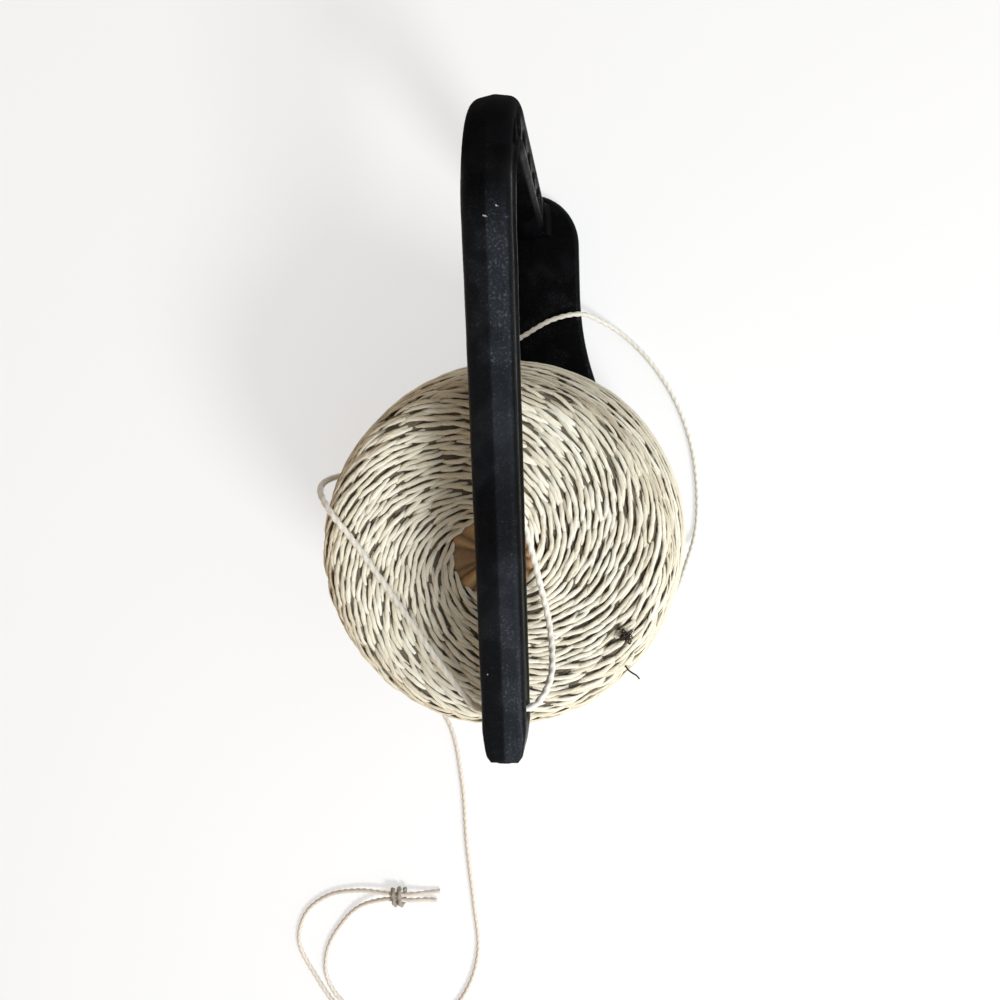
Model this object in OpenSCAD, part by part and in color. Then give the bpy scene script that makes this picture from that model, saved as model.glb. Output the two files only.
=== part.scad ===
// String holder: an iron foot plate, a post that bends over into a level arm, and a package of twine.
// Millimetres. Origin on the foot plate's underside, in the middle of its round seat.
// +Z is up, +Y runs from the seat to the post, and the arm's free end points to -Y.

/* [Foot plate] */
// thickness of the foot plate
base_t = 6; // [5:0.5:10]
// radius of the round seat under the string
seat_r = 44; // [38:0.5:54]
// half of the neck's width
neck_hw = 18.7; // [16:0.1:24]
// from the middle of the post's foot to the neck's round end
neck_past = 9.7; // [8:0.1:16]
// radius of the hollow curve from neck to seat
waist_r = 110; // [60:1:140]
// bevel round the plate's upper edge
base_bevel = 1.2; // [0.5:0.1:2.5]

/* [Arm] */
// height of the arm's ridge above the table
arm_h = 120; // [114:0.5:135]
// width of the post and of the arm at the bend
arm_w = 12.7; // [11:0.1:16]
// width of the arm near its free end
arm_w_end = 11.6; // [10:0.1:14]
// depth of the arm's section, without the ridge
arm_d = 13.4; // [12:0.1:17]
// height of the parting ridge on both faces
ridge_h = 0.8; // [0.3:0.1:1]
// thickness of each rim at its edge
rim_t = 3; // [2.6:0.1:3.6]
// how far the web is sunk below the rims' edges
web_sunk = 0.9; // [0.5:0.1:1.4]
// radius of the bend's outer face
bend_r = 39.5; // [30:0.5:42]
// from the seat's centre to the bend's centre
bend_y = 87.8; // [84:0.1:95]
// how far the post leans out towards its top, in degrees
post_lean = 6; // [0:0.5:7]
// from the seat's centre to the arm's free end
arm_reach = 49.5; // [46:0.1:60]
// height of the solid foot of the post
foot_h = 12; // [11:0.5:16]
// radius of the fillets at the foot
foot_fillet = 4; // [2:0.25:5]

/* [Eye and pierced web] */
// bore of the string eye
eye_d = 5.6; // [4.5:0.1:5.8]
// from the free end to the eye
eye_back = 11.5; // [9:0.1:16]
// width of each window in the pierced web
pierce_w = 6.8; // [5:0.1:7]
// length of each window
pierce_len = 12; // [9:0.1:12.4]
// spacing of the windows along the post and bend
pierce_pitch = 15; // [13.5:0.1:16]
// place of the first window on the bend, in degrees from its top
pierce_first = 55; // [45:1:60]

/* [Fasteners and peg] */
// thread size of the two screws under the post
screw_d = 4; // [3:0.5:4.5]
// length of each screw, head included
screw_len = 14; // [12:0.5:15]
// spacing of the two screws
screw_pitch = 7.8; // [7.6:0.1:8.2]
// head size of each screw
screw_head_d = 7.2; // [6:0.1:7.4]
// height of each screw's cone head
screw_head_h = 2.1; // [1.5:0.1:2.5]
// size of the round peg under the cone
peg_d = 18; // [10:0.5:22]
// height of the peg above the plate
peg_h = 7; // [4:0.25:8]
// size of the peg's shank in the plate
shank_d = 8; // [5:0.25:10]
// depth of the shank in the plate
shank_depth = 4; // [2.5:0.25:4.25]

/* [String package] */
// thickness of the string
string_d = 2; // [1.6:0.1:2.2]
// how far the package stands to the side of the peg
pack_x = -5; // [-6:0.1:6]
// greatest radius of the package
belly_r = 58; // [52:0.25:58.5]
// height of the greatest radius
belly_z = 40; // [30:1:50]
// radius of the package at its foot
pack_foot_r = 47; // [42:0.5:52]
// radius of the package at its upper rim
rim_r = 51.2; // [48:0.1:51.6]
// drop from the package's top to its upper rim
rim_drop = 7; // [5:0.25:11]
// radius where the top turns in towards the cone
top_r = 43; // [38:0.5:44]
// room between the package's top and the arm's underside
head_room = 8; // [7.5:0.1:12]
// depth of the dip round the cone's nose
dip = 2; // [0:0.1:4]
// loops of the outer layer
loops = 22; // [12:1:22]

/* [Paper cone] */
// radius of the cone's nose
nose_r = 12.6; // [10:0.1:14]
// radius of the cone at its foot
cone_r = 20; // [19:0.25:24]
// thickness of the paper
paper_t = 1.2; // [0.6:0.1:2]
// radius of the hole left in the rolled nose
nose_hole_r = 3; // [1.5:0.1:5]

/* [Fits] */
// gap round each screw
screw_gap = 0.05; // [0.02:0.01:0.1]
// gap round the peg's shank
shank_gap = 0.02; // [0.01:0.01:0.05]
// gap under the package, which turns on the plate
turn_gap = 0.1; // [0.05:0.01:0.3]
// gap between the string and what it lies on
lie_gap = 0.08; // [0.05:0.01:0.3]

/* [Hidden] */
$fn = 72;

// the hollow curve's centre touches both the neck's side and the seat
waist_x = neck_hw + waist_r;
waist_y = sqrt(pow(seat_r + waist_r, 2) - pow(waist_x, 2));

// the post: where the bend ends, and where its middle meets the plate
bend_z = arm_h - bend_r;
bend_turn = 90 + post_lean;
section_mid = arm_d / 2 + ridge_h;
mid_r = bend_r - section_mid;
post_top_y = bend_y + mid_r * cos(post_lean);
post_top_z = bend_z - mid_r * sin(post_lean);
post_len = (post_top_z - base_t) / cos(post_lean);
foot_y = post_top_y - post_len * sin(post_lean);
neck_reach = foot_y + neck_past;
neck_end_y = neck_reach - neck_hw;
// the straight post and the level arm start inside the bend, a hair smaller than it
post_lap = 0.8;
post_inset = 0.03;
eye_y = -arm_reach + eye_back;
eye_z = arm_h - section_mid;

// package heights and profile
pack_z = base_t + turn_gap;
top_z = arm_h - 2 * section_mid - head_room;
rim_z = top_z - rim_drop;
nose_z = top_z - dip - 0.4;

function side_r(z) = z > belly_z
    ? belly_r - (belly_r - rim_r) * pow((z - belly_z) / (rim_z - belly_z), 2)
    : belly_r - (belly_r - pack_foot_r) * pow((belly_z - z) / (belly_z - pack_z), 2);
function cone_out(z) = cone_r + (nose_r - cone_r) * (z - pack_z) / (nose_z - 1.6 - pack_z);
// the package's skin, set in by a depth, from its foot up and over to the dip
function side_pts(inset, low) = [for (i = [0 : 14]) let (z = low + (rim_z - low) * i / 14) [side_r(z) - inset, z]];
function shoulder_pts(inset) = [for (a = [15 : 15 : 90])
    [top_r + (rim_r - inset - top_r) * cos(a), rim_z + (top_z - inset - rim_z) * sin(a)]];

// the winding's path: its profile by length, then turned about the package's axis
string_r = string_d / 2;
wind_low = 14;
wind_in = string_r;
wind_core_r = nose_r + 4.5;
dip_slope = dip / (top_r - nose_r);
wind_prof = concat([[wind_core_r, top_z - wind_in - dip_slope * (top_r - wind_core_r)]],
                   [for (i = [5 : -1 : 0]) shoulder_pts(wind_in)[i]],
                   [for (i = [14 : -1 : 0]) side_pts(wind_in, wind_low)[i]]);
function run_len(p, i) = i == 0 ? 0 : run_len(p, i - 1) + norm(p[i] - p[i - 1]);
wind_s = [for (i = [0 : len(wind_prof) - 1]) run_len(wind_prof, i)];
wind_total = wind_s[len(wind_s) - 1];
r_at = [for (i = [0 : len(wind_s) - 1]) [wind_s[i], wind_prof[i][0]]];
z_at = [for (i = [0 : len(wind_s) - 1]) [wind_s[i], wind_prof[i][1]]];
loop_rings = 24;
wind_n = loops * loop_rings;
// how far a straight stretch between two rings cuts inside the round
chord_in = belly_r * (1 - cos(180 / loop_rings));
function wind_pt(i) = let (s = wind_total * i / wind_n, a = 360 * i / loop_rings, r = lookup(s, r_at))
    [r * cos(a), r * sin(a), lookup(s, z_at)];
wind_body = [for (i = [0 : wind_n]) wind_pt(i)];
// both ends run straight for one diameter
wind_path = concat([wind_body[0] - [0, string_d, 0]], wind_body, [wind_body[wind_n] + [0, string_d, 0]]);
wind_gap = min([for (i = [0 : wind_n - loop_rings])
    min([for (k = [-2 : 2]) let (j = i + loop_rings + k) j <= wind_n ? norm(wind_body[i] - wind_body[j]) : 99])])
    - string_d;
echo(str("least gap of the winding to itself, mm: ", wind_gap));

// the loose string: places of its middle line, from the package to its short end past the knot
lie_z = string_r + lie_gap;
plate_z = base_t + string_r + lie_gap;
eye_in = arm_w / 2;
top_run_z = top_z + string_r + 0.6;
back_r = belly_r + string_r + 1.2;
knot_x = -64;
knot_y = -163;
knot_r = string_d + lie_gap;
knot_z = knot_r + string_r + lie_gap;
pair_y = string_r + 0.3;
run_pts = [
    [39, -40, 30], [50, -31, 19], [57, -19, 7], [61, -8, lie_z], [62, 5, lie_z], [60, 25, lie_z],
    [54, 43, lie_z], [44, 59, lie_z], [34, 69, lie_z + 0.6], [26, 74, plate_z - 2], [19, 76.5, plate_z + 0.8],
    [8, 75, plate_z], [-2, 70, plate_z], [-8, 66, plate_z + 4], [-8, back_r + 2, 26], [-8, back_r + 0.6, 46],
    [-8, back_r - 1.5, 66], [-6, rim_r + 5, 86], [-5, rim_r + 2, rim_z + 5], [-4, 46.5, top_run_z + 0.5], [0, 30, top_run_z + 0.3],
    [4, 14, top_run_z + 0.6], [8, -3, top_run_z + 1], [11.5, -20, top_run_z + 3], [11.5, -31, eye_z - 4],
    [eye_in + 1, eye_y + 1.2, eye_z - 0.6], [0, eye_y, eye_z], [-eye_in - 1, eye_y + 0.2, eye_z - 0.5],
    [-16, eye_y + 8, eye_z - 4.6], [-31, -12, 101.2], [-44, 6, top_run_z + 0.3], [-50, 13.6, top_run_z - 0.2],
    [-54.2, 18.4, rim_z + 4.4], [-56.8, 20.6, 87], [-60, 21.5, 68], [-62.5, 20, 40], [-63, 14, 14], [-63.5, 5, lie_z + 0.6],
    [-63, -10, lie_z], [-60, -38, lie_z], [-52, -66, lie_z], [-39, -88, lie_z], [-35, -112, lie_z],
    [-34, -140, lie_z], [-32, -166, lie_z], [-31, -187, lie_z], [-36, -204, lie_z], [-48, -220, lie_z],
    [-65, -229, lie_z], [-82, -228, lie_z], [-94, -219, lie_z], [-104, -204, lie_z], [-111, -188, lie_z],
    [-107, -174, lie_z], [-96, -165, lie_z + 0.3], [-82, knot_y + 1.4, lie_z + 1.2],
    [knot_x - 5, knot_y + pair_y, knot_z], [knot_x + 5, knot_y + pair_y, knot_z],
    [knot_x + 12, knot_y + pair_y + 0.3, lie_z + 0.6], [knot_x + 17.5, knot_y + pair_y + 0.9, lie_z]];
// the second string, tied to the first by the knot: from its short end to its bare end
spare_pts = [
    [knot_x + 16, knot_y - pair_y - 0.8, lie_z], [knot_x + 12, knot_y - pair_y - 0.3, lie_z + 0.6],
    [knot_x + 5, knot_y - pair_y, knot_z], [knot_x - 5, knot_y - pair_y, knot_z], [-82, -169, lie_z + 0.8],
    [-91, -178, lie_z], [-98, -190, lie_z], [-99.5, -202, lie_z], [-96, -211, lie_z], [-91, -217, lie_z]];
function unit(v) = v / norm(v);
function path_len(p) = run_len(p, len(p) - 1);
echo(str("loose string, mm: ", path_len(run_pts), ", second string, mm: ", path_len(spare_pts)));

// the knot: two turns round both strands, each a long oval of two half rounds
knot_turns = 2;
knot_pitch = string_d + 0.6;
function knot_pt(i) = let (j = i % 26, side = j < 7 || j > 19 ? 1 : -1, a = 15 * (j - (j > 6 ? 1 : 0) - (j > 19 ? 1 : 0)))
    [knot_x - knot_pitch * knot_turns / 2 + knot_pitch * i / 26,
     knot_y + side * pair_y + knot_r * cos(a), knot_z + knot_r * sin(a)];
knot_path = [for (i = [0 : knot_turns * 26]) knot_pt(i)];

function path_dir(p, i) = unit(p[min(i + 1, len(p) - 1)] - p[max(i - 1, 0)]);
function across(v, t) = unit(v - t * (v * t));
// a side direction for every ring, carried along the path without twist
function sides_of(p, start) = [for (i = 0, s = across(start, path_dir(p, 0)); i < len(p);
    i = i + 1, s = i < len(p) ? across(s, path_dir(p, i)) : s) s];

module tube(p, r, n, start) {
    s = sides_of(p, start);
    pts = [for (i = [0 : len(p) - 1]) let (t = path_dir(p, i), u = s[i], v = cross(t, u))
        for (k = [0 : n - 1]) p[i] + r * (cos(360 * k / n) * u + sin(360 * k / n) * v)];
    last = (len(p) - 1) * n;
    walls = [for (i = [0 : len(p) - 2]) for (k = [0 : n - 1]) let (a = i * n + k, b = i * n + (k + 1) % n)
        each [[a, a + n, b], [b, a + n, b + n]]];
    caps = [for (k = [1 : n - 2]) each [[0, k, k + 1], [last, last + k + 1, last + k]]];
    polyhedron(points = pts, faces = concat(walls, caps), convexity = 10);
}

// the plate's edge in section: upright, then bevelled, with its foot at a given reach
function edge(reach) = [[reach, 0], [reach, base_t - base_bevel], [reach - base_bevel, base_t]];

module bevelled_disc(r) {
    rotate_extrude()
        polygon(concat([[0, 0]], edge(r), [[0, base_t]]));
}

module neck_bar() {
    right = edge(neck_hw);
    translate([0, neck_end_y, 0])
        rotate([90, 0, 0])
            linear_extrude(height = neck_end_y)
                polygon(concat(right, [for (i = [2 : -1 : 0]) [-right[i][0], right[i][1]]]));
}

// fills the corner between seat and neck, up to the hollow curve
module waist_fill() {
    difference() {
        linear_extrude(height = base_t)
            polygon([[0, 0], [waist_x, waist_y] * seat_r / (seat_r + waist_r), [neck_hw, waist_y], [0, waist_y]]);
        translate([waist_x, waist_y, 0])
            rotate_extrude($fn = 180)
                polygon([[0, -1], [waist_r, -1], [waist_r, base_t - base_bevel], [waist_r + base_bevel, base_t],
                         [waist_r + base_bevel, base_t + 1], [0, base_t + 1]]);
    }
}

module base_plate() {
    color("#1c1d20")
        difference() {
            union() {
                bevelled_disc(seat_r);
                translate([0, neck_end_y, 0])
                    bevelled_disc(neck_hw);
                neck_bar();
                waist_fill();
                mirror([1, 0, 0])
                    waist_fill();
            }
            translate([0, 0, base_t - shank_depth])
                cylinder(h = shank_depth + 1, r = shank_d / 2 + shank_gap);
            for (s = [-0.5, 0.5])
                translate([0, foot_y + s * screw_pitch, 0])
                    screw_shape(screw_gap, base_t + 1);
        }
}

// a countersunk screw, head down, grown by a gap
module screw_shape(gap, length) {
    flare = (screw_head_d - screw_d) / 2 / screw_head_h;
    translate([0, 0, -1])
        cylinder(h = screw_head_h + 1, r1 = screw_head_d / 2 + gap + flare, r2 = screw_d / 2 + gap);
    cylinder(h = length, r = screw_d / 2 + gap);
}

// half of the arm's section from outer to inner face, all faces set in by a depth; its middle is on the Y axis
function half_section(inset) = let (w = arm_w / 2 - inset, d = arm_d / 2 - inset, web = w - web_sunk,
                                    rim = arm_d / 2 - rim_t + inset) [
    [0, d + ridge_h], [w - 1.4, d], [w, d - 1.4], [w, rim + 0.3], [web, rim - 0.3],
    [web, -rim + 0.3], [w, -rim - 0.3], [w, -d + 1.4], [w - 1.4, -d], [0, -d - ridge_h]];
function solid_half(inset) = [for (i = [0, 1, 2, 7, 8, 9]) half_section(inset)[i]];
function mirrored(h) = concat(h, [for (i = [len(h) - 2 : -1 : 1]) [-h[i][0], h[i][1]]]);

// places of the windows: angle on the bend, or distance down the post
bend_step = pierce_pitch / mid_r * 180 / PI;
post_first = pierce_pitch - (bend_turn - pierce_first - bend_step) / 180 * PI * mid_r;
// as many windows on the post as end clear of its solid foot
post_last = floor((post_len - foot_h - pierce_len / 2 - 1 - post_first) / pierce_pitch);

module on_bend(angle) {
    translate([0, bend_y + mid_r * sin(angle), bend_z + mid_r * cos(angle)])
        rotate([90 - angle, 0, 0])
            children();
}

module on_post(down) {
    translate([0, post_top_y - down * sin(post_lean), post_top_z - down * cos(post_lean)])
        children();
}

// an oval window through the web, long way up
module window() {
    rotate([0, 90, 0])
        scale([pierce_len / pierce_w, 1, 1])
            cylinder(h = arm_w + 2, r = pierce_w / 2, center = true, $fn = 40);
}

module post_run(length, section) {
    rotate([180 - post_lean, 0, 0])
        linear_extrude(height = length)
            polygon([for (p = section) [p[0], -p[1]]]);
}

module level_arm() {
    intersection() {
        translate([0, bend_y + post_lap, eye_z])
            rotate([90, 0, 0])
                linear_extrude(height = bend_y + post_lap + arm_reach)
                    polygon(mirrored(half_section(post_inset)));
        translate([0, 0, eye_z - arm_d])
            linear_extrude(height = 2 * arm_d)
                polygon([[arm_w / 2 + 1, bend_y + 1], [arm_w / 2, bend_y - 1], [arm_w_end / 2, -arm_reach + 8],
                         [arm_w_end / 2 - 1, -arm_reach + 1.4], [arm_w_end / 2 - 2.2, -arm_reach],
                         [-arm_w_end / 2 + 2.2, -arm_reach], [-arm_w_end / 2 + 1, -arm_reach + 1.4],
                         [-arm_w_end / 2, -arm_reach + 8], [-arm_w / 2, bend_y - 1],
                         [-arm_w / 2 - 1, bend_y + 1]]);
    }
}

module foot_fillets() {
    for (side = [0, 1])
        mirror([side, 0, 0])
            translate([arm_w / 2 - 0.4, foot_y + arm_d / 2 - 0.5, base_t])
                rotate([90, 0, 0])
                    linear_extrude(height = arm_d - 1)
                        difference() {
                            square([foot_fillet + 0.4, foot_fillet]);
                            translate([foot_fillet + 0.4, foot_fillet])
                                circle(r = foot_fillet);
                        }
}

module arm() {
    color("#17181b")
        difference() {
            union() {
                level_arm();
                translate([0, bend_y, bend_z])
                    rotate([0, 90, 0])
                        rotate([0, 0, 180 - bend_turn])
                            rotate_extrude(angle = bend_turn, $fn = 96)
                                polygon([for (p = mirrored(half_section(0))) [mid_r + p[1], p[0]]]);
                on_post(-post_lap)
                    post_run(post_len + post_lap + 4, mirrored(half_section(post_inset)));
                on_post(post_len - foot_h)
                    post_run(foot_h + 4, mirrored(solid_half(2 * post_inset)));
                foot_fillets();
            }
            translate([-50, foot_y - 50, base_t - 20])
                cube([100, 100, 20]);
            for (i = [0, 1])
                on_bend(pierce_first + i * bend_step)
                    window();
            for (i = [0 : post_last])
                on_post(post_first + i * pierce_pitch)
                    rotate([-post_lean, 0, 0])
                        window();
            translate([0, eye_y, eye_z])
                rotate([0, 90, 0])
                    cylinder(h = arm_w + 2, r = eye_d / 2, center = true, $fn = 36);
            for (s = [-0.5, 0.5])
                translate([0, foot_y + s * screw_pitch, 0])
                    cylinder(h = screw_len + 1, r = screw_d / 2 + screw_gap);
        }
}

module arm_screws() {
    color("#4a4b4f")
        for (s = [-0.5, 0.5])
            translate([0, foot_y + s * screw_pitch, 0])
                difference() {
                    translate([0, 0, 0.2]) {
                        cylinder(h = screw_head_h - 0.2, r1 = screw_head_d / 2 - 0.2, r2 = screw_d / 2);
                        cylinder(h = screw_len - 0.2, r = screw_d / 2);
                    }
                    translate([-screw_head_d, -0.5, 0])
                        cube([2 * screw_head_d, 1, 1.1]);
                }
}

module centre_peg() {
    color("#2a2b2e")
        union() {
            translate([0, 0, base_t - shank_depth + 0.2])
                cylinder(h = shank_depth, r = shank_d / 2);
            translate([0, 0, base_t])
                cylinder(h = peg_h - 1.5, r = peg_d / 2);
            translate([0, 0, base_t + peg_h - 1.5])
                cylinder(h = 1.5, r1 = peg_d / 2, r2 = peg_d / 2 - 1.5);
        }
}

module paper_cone() {
    color("#8d6540")
        translate([pack_x, 0, 0])
            rotate_extrude()
                polygon([[cone_r - paper_t, pack_z], [cone_r, pack_z], [nose_r, nose_z - 1.6], [nose_r - 0.4, nose_z - 0.5],
                         [nose_r - 2, nose_z], [nose_r - 4.5, nose_z - 0.5], [nose_hole_r + 1, nose_z - 2],
                         [nose_hole_r, nose_z - 3.2], [nose_hole_r, nose_z - 4.4], [nose_hole_r + 1.6, nose_z - 3.2],
                         [nose_r - 4.5, nose_z - 1.9], [nose_r - 2.2, nose_z - 1.5], [nose_r - paper_t, nose_z - 2.4]]);
}

module string_core() {
    skin = string_d + lie_gap + chord_in;
    color("#b9a67e")
        translate([pack_x, 0, 0])
            rotate_extrude($fn = 96)
                polygon(concat([[cone_out(pack_z) + lie_gap, pack_z]], side_pts(skin, pack_z), shoulder_pts(skin),
                               [[nose_r + lie_gap + 0.2, top_z - dip - skin]]));
}

module string_winding() {
    color("#e2d7b8")
        translate([pack_x, 0, 0])
            tube(wind_path, string_r, 6, [1, 0, 0]);
}

module string_run() {
    color("#efe8d2")
        tube(run_pts, string_r, 8, [0, 0, 1]);
}

module string_spare() {
    color("#efe8d2")
        tube(spare_pts, string_r, 8, [0, 0, 1]);
}

module string_knot() {
    color("#efe8d2")
        tube(knot_path, string_r, 6, [1, 0, 0]);
}

base_plate();
arm();
arm_screws();
centre_peg();
paper_cone();
string_core();
string_winding();
string_run();
string_spare();
string_knot();
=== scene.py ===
"""String holder: an iron stand and its package of twine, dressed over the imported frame.

Lengths in the classes are millimetres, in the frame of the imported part; meshes are written in metres.
"""

import logging
import math
from dataclasses import dataclass, field
from enum import Enum
from typing import Any

import bpy
import numpy as np
from mathutils import Matrix, Vector, noise


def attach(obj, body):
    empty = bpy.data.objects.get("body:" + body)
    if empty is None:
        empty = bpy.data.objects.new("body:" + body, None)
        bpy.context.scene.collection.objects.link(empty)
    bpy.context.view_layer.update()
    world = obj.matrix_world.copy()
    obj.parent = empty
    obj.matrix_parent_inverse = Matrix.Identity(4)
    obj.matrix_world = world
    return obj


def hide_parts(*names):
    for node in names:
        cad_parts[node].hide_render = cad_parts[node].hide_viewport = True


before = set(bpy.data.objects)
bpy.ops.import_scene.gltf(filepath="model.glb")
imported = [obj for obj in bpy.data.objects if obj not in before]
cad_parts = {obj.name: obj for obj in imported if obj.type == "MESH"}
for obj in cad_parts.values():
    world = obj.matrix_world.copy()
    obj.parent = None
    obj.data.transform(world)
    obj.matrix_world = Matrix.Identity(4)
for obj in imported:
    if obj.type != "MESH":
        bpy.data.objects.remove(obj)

LOG = logging.getLogger("string_holder")
MM = 0.001
TURN = 2 * math.pi
UP = (0.0, 0.0, 1.0)
Colour = tuple[float, float, float]
Point = tuple[float, float, float]
Span = tuple[float, float]
Object = bpy.types.Object
Material = bpy.types.Material
Socket = bpy.types.NodeSocket


class Body(Enum):
    """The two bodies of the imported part."""

    STAND = "stand"
    PACKAGE = "package"


class Slot(Enum):
    """Names of the record's material slots."""

    IRON = "black_iron"
    PAPER = "kraft_paper"
    INNER = "twine_inner"
    TWINE = "twine"


class Hand(Enum):
    """Which way a strand climbs round the package, seen from outside."""

    LEFT = -1.0
    RIGHT = 1.0


def smooth(x: np.ndarray | float, low: float, high: float) -> np.ndarray:
    """Ease from 0 at low to 1 at high."""
    u = np.clip((np.asarray(x, float) - low) / (high - low), 0.0, 1.0)
    return u * u * (3.0 - 2.0 * u)


def between(u: np.ndarray, low: float, high: float, a: np.ndarray, b: np.ndarray) -> np.ndarray:
    """Blend a into b as u goes from low to high."""
    return (high - u) / (high - low) * a + (u - low) / (high - low) * b


def run_length(line: np.ndarray) -> np.ndarray:
    """Length along a line, at each of its points."""
    return np.concatenate([[0.0], np.cumsum(np.linalg.norm(np.diff(line, axis=0), axis=1))])


def tangents(line: np.ndarray) -> np.ndarray:
    """Direction of a line, at each of its points."""
    found = np.gradient(line, axis=0)
    return found / np.linalg.norm(found, axis=1, keepdims=True)


def rounded_line(knots: list[Point], step: float, fine: int = 24) -> np.ndarray:
    """Run one smooth curve through a route's points.

    Args:
        knots: The route's points.
        step: Spacing of the points that are returned.
        fine: Points worked out from each of the route's points to the next.

    Returns:
        Points along the curve, evenly spaced.
    """
    p = np.array(knots, float)
    p = np.vstack([2 * p[0] - p[1], p, 2 * p[-1] - p[-2]])
    t = np.concatenate([[0.0], np.cumsum(np.sqrt(np.linalg.norm(np.diff(p, axis=0), axis=1)))])
    runs = []
    for i in range(1, len(p) - 2):
        u = np.linspace(t[i], t[i + 1], fine, endpoint=False)[:, None]
        a1 = between(u, t[i - 1], t[i], p[i - 1], p[i])
        a2 = between(u, t[i], t[i + 1], p[i], p[i + 1])
        a3 = between(u, t[i + 1], t[i + 2], p[i + 1], p[i + 2])
        b1 = between(u, t[i - 1], t[i + 1], a1, a2)
        b2 = between(u, t[i], t[i + 2], a2, a3)
        runs.append(between(u, t[i], t[i + 1], b1, b2))
    line = np.vstack([*runs, p[-2][None]])
    s = run_length(line)
    even = np.linspace(0.0, s[-1], max(2, round(s[-1] / step) + 1))
    return np.stack([np.interp(even, s, line[:, k]) for k in range(3)], 1)


def carried_sides(line: np.ndarray, start: Point = UP) -> np.ndarray:
    """Carry a side direction along a line without twist.

    Args:
        line: Points of the line.
        start: A direction across the line's start.

    Returns:
        One direction for each point.
    """
    side, found = np.array(start, float), []
    for t in tangents(line):
        side = side - t * side.dot(t)
        side /= np.linalg.norm(side)
        found.append(side.copy())
    return np.array(found)


def new_object(name: str, data: bpy.types.ID) -> Object:
    """Make an object of a mesh, lamp or camera and link it to the scene.

    Args:
        name: The object's name.
        data: What it shows.

    Returns:
        The object.
    """
    made = bpy.data.objects.new(name, data)
    bpy.context.scene.collection.objects.link(made)
    return made


def dress(piece: Object, finish: Material, body: Body, slot: Slot, *nodes: str) -> Object:
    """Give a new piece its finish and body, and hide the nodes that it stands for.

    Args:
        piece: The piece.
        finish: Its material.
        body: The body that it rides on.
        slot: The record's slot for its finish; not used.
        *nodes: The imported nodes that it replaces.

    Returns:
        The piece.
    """
    piece.data.materials.append(finish)
    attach(piece, body.value)
    if nodes:
        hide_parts(*nodes)
    return piece


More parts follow.
